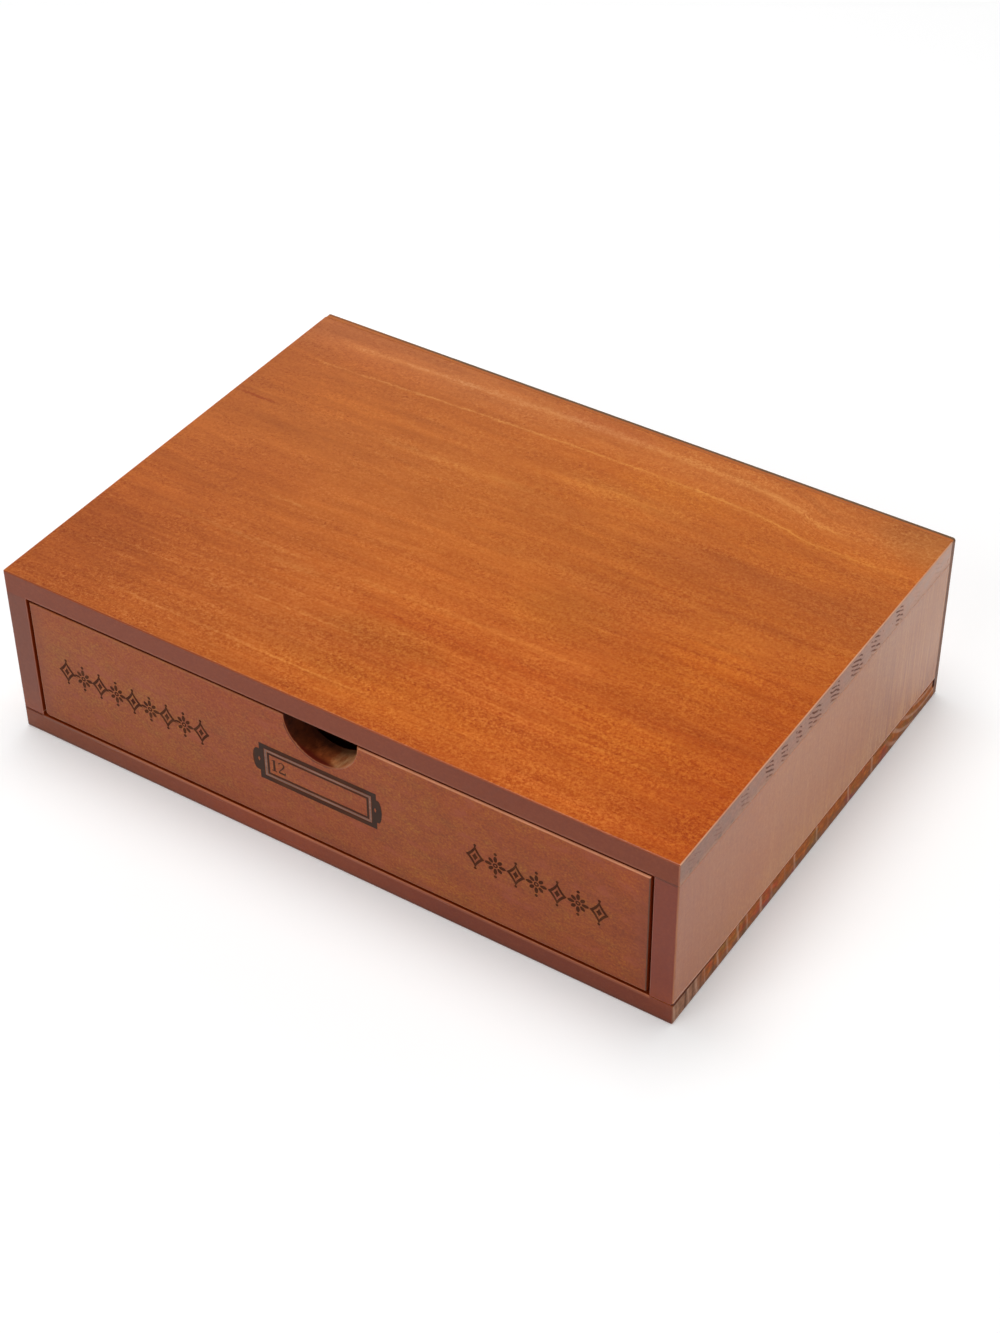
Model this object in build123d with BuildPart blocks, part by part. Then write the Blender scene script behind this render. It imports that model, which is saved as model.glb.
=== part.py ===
from build123d import *
import os

# Drawer box: a flat wooden box with one full-width drawer that slides out
# forwards. Millimetres, +Z up, +X to the right as seen from the front, the
# front face towards -Y. Origin: bottom centre of the outside.

# ---- outside of the box ------------------------------------------------
WIDTH = 245.0
DEPTH = 175.0
HEIGHT = 65.0
BOARD = 8.0                 # bottom and side boards
TOP_BOARD = 8.4             # the top board is a little thicker
BACK_PANEL = 2.5            # thin panel over the rear ends of the boards
OUTER_ARRIS = 0.5           # sanded outer edges
FOOT_ARRIS = 0.7            # edges round the underside
OPENING_ARRIS = 0.4         # sanded edge round the drawer opening
SEAM_ARRIS = 0.25           # open seams between boards
PANEL_CORNER = 1.0          # corners of the back panel
PANEL_WORN_CORNER = 3.0     # its upper left corner is rounded further

FRONT_Y = -DEPTH / 2
REAR_Y = DEPTH / 2
BOARD_REAR_Y = REAR_Y - BACK_PANEL
BOARD_LENGTH = BOARD_REAR_Y - FRONT_Y
BOARD_MID_Y = (BOARD_REAR_Y + FRONT_Y) / 2
OPENING_W = WIDTH - 2 * BOARD
OPENING_Z0 = BOARD
OPENING_Z1 = HEIGHT - TOP_BOARD
SIDE_MID_X = WIDTH / 2 - BOARD / 2

# small open nick where the bottom board, side board and back panel meet
NICK_X, NICK_Y, NICK_Z = 5.0, 1.3, 3.0

# ---- drawer ------------------------------------------------------------
DRAWER_X = 0.05             # the drawer stands a little to the right
DRAWER_W = 226.7            # leaves 1.2 on the left and 1.1 on the right
FRONT_RECESS = 0.1          # drawer front behind the front of the box
FRONT_Z0 = 8.9
FRONT_Z1 = 55.75
FRONT_T = 9.5               # seen in the cut of the finger notch
FRONT_ARRIS = 0.5
FRONT_WORN_CORNER = 1.5     # its lower left corner is worn round
NOTCH_R = 13.5              # half-moon finger notch in the top edge
NOTCH_X = -0.5
NOTCH_LIP_R = 1.2
LIP = 3.0                   # front lip left by the rabbets at both ends
SIDE_T = 6.0
SIDE_Z0 = 8.2
SIDE_Z1 = 53.0
REAR_GAP = 0.3              # closed drawer to back panel
GROOVE_DEPTH = 3.2
TRAY_T = 2.5                # thin bottom panel of the drawer
TRAY_Z0 = 11.8
TRAY_REACH = 3.0            # how far the panel goes into its grooves

DF_Y0 = FRONT_Y + FRONT_RECESS          # face of the drawer front
DF_Y1 = DF_Y0 + FRONT_T                 # its back
DS_Y0 = DF_Y0 + LIP                     # front end of the drawer sides
DS_Y1 = BOARD_REAR_Y - REAR_GAP         # rear end of the drawer
DX0 = DRAWER_X - DRAWER_W / 2           # left and right outside
DX1 = DRAWER_X + DRAWER_W / 2
DXI0 = DX0 + SIDE_T                     # left and right inside
DXI1 = DX1 - SIDE_T
TRAY_Z1 = TRAY_Z0 + TRAY_T

# ---- fasteners ---------------------------------------------------------
BRAD_R = 0.6
BRAD_HEAD_R = 0.95
BRAD_HEAD_T = 0.6
BRAD_SUNK = 0.2
NAIL_HEAD_R = 1.1
NAIL_HEAD_T = 0.5
NAIL_SUNK = 0.1
BRAD_COVER = 1.0            # filler over the brads of the top board

BOX_BRAD_POINTS = [(sx * SIDE_MID_X, y) for sx in (-1, 1) for y in (-62.0, 0.0, 62.0)]
TOP_BRAD_Z1 = HEIGHT - BRAD_COVER
TOP_BRAD_Z0 = 40.0
BOTTOM_BRAD_Z1 = 25.0

PANEL_NAIL_LENGTH = 13.0
PANEL_NAILS_TOP = [(x, HEIGHT - TOP_BOARD / 2) for x in (-105.0, -35.0, 35.0, 105.0)]
PANEL_NAILS_BOTTOM = [(x, BOARD / 2) for x in (-105.0, -35.0, 35.0, 105.0)]
PANEL_NAIL_LEFT = [(-SIDE_MID_X, HEIGHT / 2)]
PANEL_NAIL_RIGHT = [(SIDE_MID_X, HEIGHT / 2)]

DRAWER_BRAD_LENGTH = 16.0
FRONT_BRAD_POINTS = [((DS_Y0 + DF_Y1) / 2, z) for z in (23.0, 45.0)]
BACK_BRAD_POINTS = [(DS_Y1 - SIDE_T / 2, z) for z in (23.0, 45.0)]
TRAY_NAIL_LENGTH = 12.0
TRAY_NAIL_POINTS = [(DRAWER_X + x, DS_Y1 - SIDE_T / 2) for x in (-90.0, -30.0, 30.0, 90.0)]

os.makedirs("parts", exist_ok=True)


# ======================= the box ========================================

# ---- top board: full width, lies on the side boards --------------------
with BuildPart() as top_board:
    with BuildSketch(Plane.XY.offset(OPENING_Z1)):
        with Locations((0, BOARD_MID_Y)):
            Rectangle(WIDTH, BOARD_LENGTH)
    extrude(amount=TOP_BOARD)
    fillet(top_board.edges().filter_by(Axis.Z).group_by(Axis.Y)[0], OUTER_ARRIS)
    upper_face = top_board.faces().sort_by(Axis.Z)[-1]
    upper_rear = upper_face.edges().sort_by(Axis.Y)[-1]
    fillet(upper_face.edges() - ShapeList([upper_rear]), OUTER_ARRIS)
    # rounded lower front edge along the opening
    with BuildSketch(Plane.YZ.offset(-OPENING_W / 2)):
        with Locations((FRONT_Y + OPENING_ARRIS / 2 - 0.5, OPENING_Z1 + OPENING_ARRIS / 2 - 0.5)):
            Rectangle(OPENING_ARRIS + 1, OPENING_ARRIS + 1)
        with Locations((FRONT_Y + OPENING_ARRIS, OPENING_Z1 + OPENING_ARRIS)):
            Circle(OPENING_ARRIS, mode=Mode.SUBTRACT)
    extrude(amount=OPENING_W, mode=Mode.SUBTRACT)
    # blind holes of the brads that go down into the side boards
    with BuildSketch(Plane.XY.offset(OPENING_Z1)):
        with Locations(*BOX_BRAD_POINTS):
            Circle(BRAD_R)
    extrude(amount=TOP_BRAD_Z1 - OPENING_Z1, mode=Mode.SUBTRACT)
    # nail holes in the rear end
    with BuildSketch(Plane.XZ.offset(-BOARD_REAR_Y)):
        with Locations(*PANEL_NAILS_TOP):
            Circle(BRAD_R)
    extrude(amount=PANEL_NAIL_LENGTH - BACK_PANEL + NAIL_HEAD_T + NAIL_SUNK, mode=Mode.SUBTRACT)
top_board.part.label = "top_board"

# ---- bottom board: full width, the side boards stand on it -------------
with BuildPart() as bottom_board:
    with BuildSketch(Plane.XY):
        with Locations((0, BOARD_MID_Y)):
            Rectangle(WIDTH, BOARD_LENGTH)
    extrude(amount=BOARD)
    fillet(bottom_board.edges().filter_by(Axis.Z).group_by(Axis.Y)[0], OUTER_ARRIS)
    lower_face = bottom_board.faces().sort_by(Axis.Z)[0]
    lower_rear = lower_face.edges().sort_by(Axis.Y)[-1]
    fillet(lower_face.edges() - ShapeList([lower_rear]), FOOT_ARRIS)
    # rounded upper front edge along the opening
    with BuildSketch(Plane.YZ.offset(-OPENING_W / 2)):
        with Locations((FRONT_Y + OPENING_ARRIS / 2 - 0.5, OPENING_Z0 - OPENING_ARRIS / 2 + 0.5)):
            Rectangle(OPENING_ARRIS + 1, OPENING_ARRIS + 1)
        with Locations((FRONT_Y + OPENING_ARRIS, OPENING_Z0 - OPENING_ARRIS)):
            Circle(OPENING_ARRIS, mode=Mode.SUBTRACT)
    extrude(amount=OPENING_W, mode=Mode.SUBTRACT)
    # nick at the upper rear right corner
    with BuildSketch(Plane.XY.offset(OPENING_Z0 - NICK_Z)):
        with Locations((WIDTH / 2 - NICK_X / 2, BOARD_REAR_Y - NICK_Y / 2)):
            Rectangle(NICK_X, NICK_Y)
    extrude(amount=NICK_Z, mode=Mode.SUBTRACT)
    # brads from below: clearance for the heads, holes right through
    with BuildSketch(Plane.XY):
        with Locations(*BOX_BRAD_POINTS):
            Circle(BRAD_HEAD_R)
    extrude(amount=BRAD_SUNK + BRAD_HEAD_T, mode=Mode.SUBTRACT)
    with BuildSketch(Plane.XY):
        with Locations(*BOX_BRAD_POINTS):
            Circle(BRAD_R)
    extrude(amount=BOARD, mode=Mode.SUBTRACT)
    with BuildSketch(Plane.XZ.offset(-BOARD_REAR_Y)):
        with Locations(*PANEL_NAILS_BOTTOM):
            Circle(BRAD_R)
    extrude(amount=PANEL_NAIL_LENGTH - BACK_PANEL + NAIL_HEAD_T + NAIL_SUNK, mode=Mode.SUBTRACT)
bottom_board.part.label = "bottom_board"

# ---- right side board --------------------------------------------------
with BuildPart() as right_side_board:
    with BuildSketch(Plane.XY.offset(OPENING_Z0)):
        with Locations((SIDE_MID_X, BOARD_MID_Y)):
            Rectangle(BOARD, BOARD_LENGTH)
    extrude(amount=OPENING_Z1 - OPENING_Z0)
    front_uprights = right_side_board.edges().filter_by(Axis.Z).group_by(Axis.Y)[0]
    fillet(front_uprights.sort_by(Axis.X)[-1], OUTER_ARRIS)
    fillet(right_side_board.edges().filter_by(Axis.Z).group_by(Axis.Y)[0].sort_by(Axis.X)[0], OPENING_ARRIS)
    # open seam under the top board at the front, and above the bottom board
    # along the outside
    fillet(right_side_board.faces().sort_by(Axis.Y)[0].edges().filter_by(Axis.X).sort_by(Axis.Z)[-1], SEAM_ARRIS)
    fillet(right_side_board.faces().sort_by(Axis.X)[-1].edges().filter_by(Axis.Y).sort_by(Axis.Z)[0], OPENING_ARRIS)
    with BuildSketch(Plane.XY.offset(OPENING_Z1)):
        with Locations(*[p for p in BOX_BRAD_POINTS if p[0] > 0]):
            Circle(BRAD_R)
    extrude(amount=-(OPENING_Z1 - TOP_BRAD_Z0), mode=Mode.SUBTRACT)
    with BuildSketch(Plane.XY.offset(OPENING_Z0)):
        with Locations(*[p for p in BOX_BRAD_POINTS if p[0] > 0]):
            Circle(BRAD_R)
    extrude(amount=BOTTOM_BRAD_Z1 - OPENING_Z0, mode=Mode.SUBTRACT)
    with BuildSketch(Plane.XZ.offset(-BOARD_REAR_Y)):
        with Locations(*PANEL_NAIL_RIGHT):
            Circle(BRAD_R)
    extrude(amount=PANEL_NAIL_LENGTH - BACK_PANEL + NAIL_HEAD_T + NAIL_SUNK, mode=Mode.SUBTRACT)
right_side_board.part.label = "right_side_board"

# ---- left side board ---------------------------------------------------
with BuildPart() as left_side_board:
    with BuildSketch(Plane.XY.offset(OPENING_Z0)):
        with Locations((-SIDE_MID_X, BOARD_MID_Y)):
            Rectangle(BOARD, BOARD_LENGTH)
    extrude(amount=OPENING_Z1 - OPENING_Z0)
    fillet(left_side_board.edges().filter_by(Axis.Z).group_by(Axis.Y)[0].sort_by(Axis.X)[0], OUTER_ARRIS)
    fillet(left_side_board.edges().filter_by(Axis.Z).group_by(Axis.Y)[0].sort_by(Axis.X)[-1], OPENING_ARRIS)
    # open seam above the bottom board at the front and along the outside
    seam = [left_side_board.faces().sort_by(Axis.Y)[0].edges().filter_by(Axis.X).sort_by(Axis.Z)[0],
            left_side_board.faces().sort_by(Axis.X)[0].edges().filter_by(Axis.Y).sort_by(Axis.Z)[0]]
    fillet(seam, SEAM_ARRIS)
    with BuildSketch(Plane.XY.offset(OPENING_Z1)):
        with Locations(*[p for p in BOX_BRAD_POINTS if p[0] < 0]):
            Circle(BRAD_R)
    extrude(amount=-(OPENING_Z1 - TOP_BRAD_Z0), mode=Mode.SUBTRACT)
    with BuildSketch(Plane.XY.offset(OPENING_Z0)):
        with Locations(*[p for p in BOX_BRAD_POINTS if p[0] < 0]):
            Circle(BRAD_R)
    extrude(amount=BOTTOM_BRAD_Z1 - OPENING_Z0, mode=Mode.SUBTRACT)
    with BuildSketch(Plane.XZ.offset(-BOARD_REAR_Y)):
        with Locations(*PANEL_NAIL_LEFT):
            Circle(BRAD_R)
    extrude(amount=PANEL_NAIL_LENGTH - BACK_PANEL + NAIL_HEAD_T + NAIL_SUNK, mode=Mode.SUBTRACT)
left_side_board.part.label = "left_side_board"

# ---- back panel: covers the rear ends of all four boards ---------------
with BuildPart() as back_panel:
    with BuildSketch(Plane.XZ.offset(-BOARD_REAR_Y)) as panel_outline:
        with Locations((0, HEIGHT / 2)):
            Rectangle(WIDTH, HEIGHT)
        corners = panel_outline.vertices().sort_by(Axis.Z)
        worn = corners[2:].sort_by(Axis.X)[0]
        fillet(worn, PANEL_WORN_CORNER)
        sharp = [v for v in panel_outline.vertices()
                 if abs(abs(v.X) - WIDTH / 2) < 0.01 and (v.Z < 0.01 or (v.X > 0 and v.Z > HEIGHT - 0.01))]
        fillet(sharp, PANEL_CORNER)
    extrude(amount=-BACK_PANEL)
    fillet(back_panel.faces().sort_by(Axis.Y)[-1].edges(), 0.3)
    # slightly eased upper front edge, a fine groove along the top board
    upper_front = back_panel.faces().sort_by(Axis.Y)[0].edges().filter_by(Axis.X).sort_by(Axis.Z)[-1]
    chamfer(upper_front, 0.25)
    with BuildSketch(Plane.XZ.offset(-REAR_Y)):
        with Locations(*(PANEL_NAILS_TOP + PANEL_NAILS_BOTTOM + PANEL_NAIL_LEFT + PANEL_NAIL_RIGHT)):
            Circle(NAIL_HEAD_R)
    extrude(amount=NAIL_SUNK + NAIL_HEAD_T, mode=Mode.SUBTRACT)
    with BuildSketch(Plane.XZ.offset(-REAR_Y)):
        with Locations(*(PANEL_NAILS_TOP + PANEL_NAILS_BOTTOM + PANEL_NAIL_LEFT + PANEL_NAIL_RIGHT)):
            Circle(BRAD_R)
    extrude(amount=BACK_PANEL, mode=Mode.SUBTRACT)
back_panel.part.label = "back_panel"

# ---- brads of the top board, set and filled over -----------------------
with BuildPart() as top_board_brads:
    with BuildSketch(Plane.XY.offset(TOP_BRAD_Z0)):
        with Locations(*BOX_BRAD_POINTS):
            Circle(BRAD_R)
    extrude(amount=TOP_BRAD_Z1 - TOP_BRAD_Z0)
top_board_brads.part.label = "top_board_brads"

# ---- brads of the bottom board, driven up from below -------------------
with BuildPart() as bottom_board_brads:
    with BuildSketch(Plane.XY.offset(BRAD_SUNK)):
        with Locations(*BOX_BRAD_POINTS):
            Circle(BRAD_HEAD_R)
    extrude(amount=BRAD_HEAD_T)
    with BuildSketch(Plane.XY.offset(BRAD_SUNK)):
        with Locations(*BOX_BRAD_POINTS):
            Circle(BRAD_R)
    extrude(amount=BOTTOM_BRAD_Z1 - BRAD_SUNK)
bottom_board_brads.part.label = "bottom_board_brads"

# ---- nails of the back panel -------------------------------------------
with BuildPart() as back_panel_nails:
    with BuildSketch(Plane.XZ.offset(-(REAR_Y - NAIL_SUNK))):
        with Locations(*(PANEL_NAILS_TOP + PANEL_NAILS_BOTTOM + PANEL_NAIL_LEFT + PANEL_NAIL_RIGHT)):
            Circle(NAIL_HEAD_R)
    extrude(amount=NAIL_HEAD_T)
    with BuildSketch(Plane.XZ.offset(-(REAR_Y - NAIL_SUNK))):
        with Locations(*(PANEL_NAILS_TOP + PANEL_NAILS_BOTTOM + PANEL_NAIL_LEFT + PANEL_NAIL_RIGHT)):
            Circle(BRAD_R)
    extrude(amount=PANEL_NAIL_LENGTH + NAIL_HEAD_T)
back_panel_nails.part.label = "back_panel_nails"


# ======================= the drawer =====================================

# ---- drawer front: finger notch, rabbeted ends, groove for the panel ---
with BuildPart() as drawer_front:
    with BuildSketch(Plane.XZ.offset(-DF_Y0)) as front_outline:
        with Locations((DRAWER_X, (FRONT_Z0 + FRONT_Z1) / 2)):
            Rectangle(DRAWER_W, FRONT_Z1 - FRONT_Z0)
        with Locations((NOTCH_X, FRONT_Z1)):
            Circle(NOTCH_R, mode=Mode.SUBTRACT)
        notch_lips = [v for v in front_outline.vertices()
                      if abs(abs(v.X - NOTCH_X) - NOTCH_R) < 0.01 and v.Z > FRONT_Z1 - 0.01]
        fillet(notch_lips, NOTCH_LIP_R)
        worn_corner = front_outline.vertices().group_by(Axis.Z)[0].sort_by(Axis.X)[0]
        fillet(worn_corner, FRONT_WORN_CORNER)
    extrude(amount=-FRONT_T)
    fillet(drawer_front.faces().sort_by(Axis.Y)[0].edges(), FRONT_ARRIS)
    # rabbets that take the front ends of the drawer sides
    with BuildSketch(Plane.XY.offset(FRONT_Z0 - 1)):
        with Locations((DX0 + SIDE_T / 2 - 0.5, (DS_Y0 + DF_Y1) / 2 + 0.5),
                       (DX1 - SIDE_T / 2 + 0.5, (DS_Y0 + DF_Y1) / 2 + 0.5)):
            Rectangle(SIDE_T + 1, DF_Y1 - DS_Y0 + 1)
    extrude(amount=FRONT_Z1 - FRONT_Z0 + 2, mode=Mode.SUBTRACT)
    # groove for the bottom panel
    with BuildSketch(Plane.YZ.offset(DXI0 - 0.5)):
        with Locations((DF_Y1 - GROOVE_DEPTH / 2 + 0.5, (TRAY_Z0 + TRAY_Z1) / 2)):
            Rectangle(GROOVE_DEPTH + 1, TRAY_T)
    extrude(amount=DXI1 - DXI0 + 1, mode=Mode.SUBTRACT)
    # brad holes in both ends
    with BuildSketch(Plane.YZ.offset(DXI0)):
        with Locations(*FRONT_BRAD_POINTS):
            Circle(BRAD_R)
    extrude(amount=DRAWER_BRAD_LENGTH + BRAD_SUNK - SIDE_T, mode=Mode.SUBTRACT)
    with BuildSketch(Plane.YZ.offset(DXI1)):
        with Locations(*FRONT_BRAD_POINTS):
            Circle(BRAD_R)
    extrude(amount=-(DRAWER_BRAD_LENGTH + BRAD_SUNK - SIDE_T), mode=Mode.SUBTRACT)
drawer_front.part.label = "drawer_front"

# ---- drawer right side -------------------------------------------------
with BuildPart() as drawer_right_side:
    with BuildSketch(Plane.XY.offset(SIDE_Z0)):
        with Locations((DX1 - SIDE_T / 2, (DS_Y0 + DS_Y1) / 2)):
            Rectangle(SIDE_T, DS_Y1 - DS_Y0)
    extrude(amount=SIDE_Z1 - SIDE_Z0)
    fillet(drawer_right_side.faces().sort_by(Axis.Z)[-1].edges().filter_by(Axis.Y), FRONT_ARRIS)
    with BuildSketch(Plane.XZ.offset(-(DS_Y0 - 1))):
        with Locations((DXI1 + GROOVE_DEPTH / 2 - 0.5, (TRAY_Z0 + TRAY_Z1) / 2)):
            Rectangle(GROOVE_DEPTH + 1, TRAY_T)
    extrude(amount=-(DS_Y1 - DS_Y0 + 2), mode=Mode.SUBTRACT)
    with BuildSketch(Plane.YZ.offset(DX1)):
        with Locations(*(FRONT_BRAD_POINTS + BACK_BRAD_POINTS)):
            Circle(BRAD_HEAD_R)
    extrude(amount=-(BRAD_SUNK + BRAD_HEAD_T), mode=Mode.SUBTRACT)
    with BuildSketch(Plane.YZ.offset(DX1)):
        with Locations(*(FRONT_BRAD_POINTS + BACK_BRAD_POINTS)):
            Circle(BRAD_R)
    extrude(amount=-SIDE_T, mode=Mode.SUBTRACT)
drawer_right_side.part.label = "drawer_right_side"

# ---- drawer left side --------------------------------------------------
with BuildPart() as drawer_left_side:
    with BuildSketch(Plane.XY.offset(SIDE_Z0)):
        with Locations((DX0 + SIDE_T / 2, (DS_Y0 + DS_Y1) / 2)):
            Rectangle(SIDE_T, DS_Y1 - DS_Y0)
    extrude(amount=SIDE_Z1 - SIDE_Z0)
    fillet(drawer_left_side.faces().sort_by(Axis.Z)[-1].edges().filter_by(Axis.Y), FRONT_ARRIS)
    with BuildSketch(Plane.XZ.offset(-(DS_Y0 - 1))):
        with Locations((DXI0 - GROOVE_DEPTH / 2 + 0.5, (TRAY_Z0 + TRAY_Z1) / 2)):
            Rectangle(GROOVE_DEPTH + 1, TRAY_T)
    extrude(amount=-(DS_Y1 - DS_Y0 + 2), mode=Mode.SUBTRACT)
    with BuildSketch(Plane.YZ.offset(DX0)):
        with Locations(*(FRONT_BRAD_POINTS + BACK_BRAD_POINTS)):
            Circle(BRAD_HEAD_R)
    extrude(amount=BRAD_SUNK + BRAD_HEAD_T, mode=Mode.SUBTRACT)
    with BuildSketch(Plane.YZ.offset(DX0)):
        with Locations(*(FRONT_BRAD_POINTS + BACK_BRAD_POINTS)):
            Circle(BRAD_R)
    extrude(amount=SIDE_T, mode=Mode.SUBTRACT)
drawer_left_side.part.label = "drawer_left_side"

# ---- drawer back: between the sides, stands on the bottom panel --------
with BuildPart() as drawer_back:
    with BuildSketch(Plane.XY.offset(TRAY_Z1)):
        with Locations((DRAWER_X, DS_Y1 - SIDE_T / 2)):
            Rectangle(DXI1 - DXI0, SIDE_T)
    extrude(amount=SIDE_Z1 - TRAY_Z1)
    fillet(drawer_back.faces().sort_by(Axis.Z)[-1].edges().filter_by(Axis.X), FRONT_ARRIS)
    with BuildSketch(Plane.YZ.offset(DXI0)):
        with Locations(*BACK_BRAD_POINTS):
            Circle(BRAD_R)
    extrude(amount=DRAWER_BRAD_LENGTH + BRAD_SUNK - SIDE_T, mode=Mode.SUBTRACT)
    with BuildSketch(Plane.YZ.offset(DXI1)):
        with Locations(*BACK_BRAD_POINTS):
            Circle(BRAD_R)
    extrude(amount=-(DRAWER_BRAD_LENGTH + BRAD_SUNK - SIDE_T), mode=Mode.SUBTRACT)
    with BuildSketch(Plane.XY.offset(TRAY_Z1)):
        with Locations(*TRAY_NAIL_POINTS):
            Circle(BRAD_R)
    extrude(amount=TRAY_NAIL_LENGTH + NAIL_HEAD_T + NAIL_SUNK - TRAY_T, mode=Mode.SUBTRACT)
drawer_back.part.label = "drawer_back"

# ---- drawer bottom panel -----------------------------------------------
with BuildPart() as drawer_bottom_panel:
    tray_y0 = DF_Y1 - TRAY_REACH
    with BuildSketch(Plane.XY.offset(TRAY_Z0)):
        with Locations((DRAWER_X, (tray_y0 + DS_Y1) / 2)):
            Rectangle(DXI1 - DXI0 + 2 * TRAY_REACH, DS_Y1 - tray_y0)
    extrude(amount=TRAY_T)
    with BuildSketch(Plane.XY.offset(TRAY_Z0)):
        with Locations(*TRAY_NAIL_POINTS):
            Circle(NAIL_HEAD_R)
    extrude(amount=NAIL_SUNK + NAIL_HEAD_T, mode=Mode.SUBTRACT)
    with BuildSketch(Plane.XY.offset(TRAY_Z0)):
        with Locations(*TRAY_NAIL_POINTS):
            Circle(BRAD_R)
    extrude(amount=TRAY_T, mode=Mode.SUBTRACT)
drawer_bottom_panel.part.label = "drawer_bottom_panel"

# ---- brads from the drawer sides into the front ------------------------
with BuildPart() as drawer_front_brads:
    for face_x, inward in ((DX0, 1), (DX1, -1)):
        with BuildSketch(Plane.YZ.offset(face_x + inward * BRAD_SUNK)):
            with Locations(*FRONT_BRAD_POINTS):
                Circle(BRAD_HEAD_R)
        extrude(amount=inward * BRAD_HEAD_T)
        with BuildSketch(Plane.YZ.offset(face_x + inward * BRAD_SUNK)):
            with Locations(*FRONT_BRAD_POINTS):
                Circle(BRAD_R)
        extrude(amount=inward * DRAWER_BRAD_LENGTH)
drawer_front_brads.part.label = "drawer_front_brads"

# ---- brads from the drawer sides into the back -------------------------
with BuildPart() as drawer_back_brads:
    for face_x, inward in ((DX0, 1), (DX1, -1)):
        with BuildSketch(Plane.YZ.offset(face_x + inward * BRAD_SUNK)):
            with Locations(*BACK_BRAD_POINTS):
                Circle(BRAD_HEAD_R)
        extrude(amount=inward * BRAD_HEAD_T)
        with BuildSketch(Plane.YZ.offset(face_x + inward * BRAD_SUNK)):
            with Locations(*BACK_BRAD_POINTS):
                Circle(BRAD_R)
        extrude(amount=inward * DRAWER_BRAD_LENGTH)
drawer_back_brads.part.label = "drawer_back_brads"

# ---- nails from the bottom panel up into the drawer back ---------------
with BuildPart() as drawer_bottom_nails:
    with BuildSketch(Plane.XY.offset(TRAY_Z0 + NAIL_SUNK)):
        with Locations(*TRAY_NAIL_POINTS):
            Circle(NAIL_HEAD_R)
    extrude(amount=NAIL_HEAD_T)
    with BuildSketch(Plane.XY.offset(TRAY_Z0 + NAIL_SUNK)):
        with Locations(*TRAY_NAIL_POINTS):
            Circle(BRAD_R)
    extrude(amount=TRAY_NAIL_LENGTH + NAIL_HEAD_T)
drawer_bottom_nails.part.label = "drawer_bottom_nails"


for piece in (top_board, bottom_board, left_side_board, right_side_board, back_panel,
              top_board_brads, bottom_board_brads, back_panel_nails,
              drawer_front, drawer_left_side, drawer_right_side, drawer_back,
              drawer_bottom_panel, drawer_front_brads, drawer_back_brads,
              drawer_bottom_nails):
    export_step(piece.part, f"parts/{piece.part.label}.step")
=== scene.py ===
import math

import bmesh
import bpy
from mathutils import Matrix, Vector


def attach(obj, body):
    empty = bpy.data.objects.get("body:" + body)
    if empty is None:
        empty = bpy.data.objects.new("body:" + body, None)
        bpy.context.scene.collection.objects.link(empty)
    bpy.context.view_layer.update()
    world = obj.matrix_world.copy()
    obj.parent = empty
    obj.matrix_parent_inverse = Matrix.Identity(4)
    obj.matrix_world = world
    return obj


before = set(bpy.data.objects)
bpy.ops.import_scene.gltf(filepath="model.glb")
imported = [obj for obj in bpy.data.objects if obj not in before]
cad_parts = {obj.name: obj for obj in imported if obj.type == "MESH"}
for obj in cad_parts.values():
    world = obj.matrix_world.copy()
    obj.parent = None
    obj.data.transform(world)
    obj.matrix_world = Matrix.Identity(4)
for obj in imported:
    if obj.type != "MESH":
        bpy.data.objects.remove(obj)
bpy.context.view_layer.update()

scene = bpy.context.scene
scene.view_settings.view_transform = "Standard"


# ======================= camera =========================================
# The long side of the 1000 x 1333 frame is the height.
camera_data = bpy.data.cameras.new("Camera")
camera_data.sensor_fit = "AUTO"
camera_data.sensor_width = 36.0
camera_data.lens = 70.791
camera_data.clip_start, camera_data.clip_end = 0.02, 50.0
camera = bpy.data.objects.new("Camera", camera_data)
scene.collection.objects.link(camera)
eye = Vector((0.363134, -0.543239, 0.572949))
right = Vector((0.8391235, 0.5438964, -0.006969))
back = Vector((0.4184428, -0.6372818, 0.6471302))
up = back.cross(right)
camera.matrix_world = Matrix((
    (right.x, up.x, back.x, eye.x),
    (right.y, up.y, back.y, eye.y),
    (right.z, up.z, back.z, eye.z),
    (0, 0, 0, 1),
))
scene.camera = camera


# ======================= studio =========================================
# A wide white sheet that glows to the horizon, a soft lamp overhead, a weaker
# one in front that reaches into the gaps and the notch, and a dark ceiling, so
# that only the lower part of the room shows in the finish.
world = bpy.data.worlds.new("Studio")
scene.world = world
world.use_nodes = True
wt = world.node_tree
wt.nodes.clear()
w_out = wt.nodes.new("ShaderNodeOutputWorld")
w_back = wt.nodes.new("ShaderNodeBackground")
w_ramp = wt.nodes.new("ShaderNodeValToRGB")
w_split = wt.nodes.new("ShaderNodeSeparateXYZ")
w_dir = wt.nodes.new("ShaderNodeTexCoord")
wt.links.new(w_dir.outputs["Generated"], w_split.inputs[0])
w_lean = wt.nodes.new("ShaderNodeMath")
w_lean.operation = "MULTIPLY_ADD"
wt.links.new(w_split.outputs["Y"], w_lean.inputs[0])
w_lean.inputs[1].default_value = -0.20
wt.links.new(w_split.outputs["Z"], w_lean.inputs[2])
w_shift = wt.nodes.new("ShaderNodeMath")
w_shift.operation = "ADD"
wt.links.new(w_lean.outputs[0], w_shift.inputs[0])
w_shift.inputs[1].default_value = 0.13
wt.links.new(w_shift.outputs[0], w_ramp.inputs["Fac"])
wt.links.new(w_ramp.outputs["Color"], w_back.inputs["Color"])
wt.links.new(w_back.outputs["Background"], w_out.inputs["Surface"])
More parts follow.
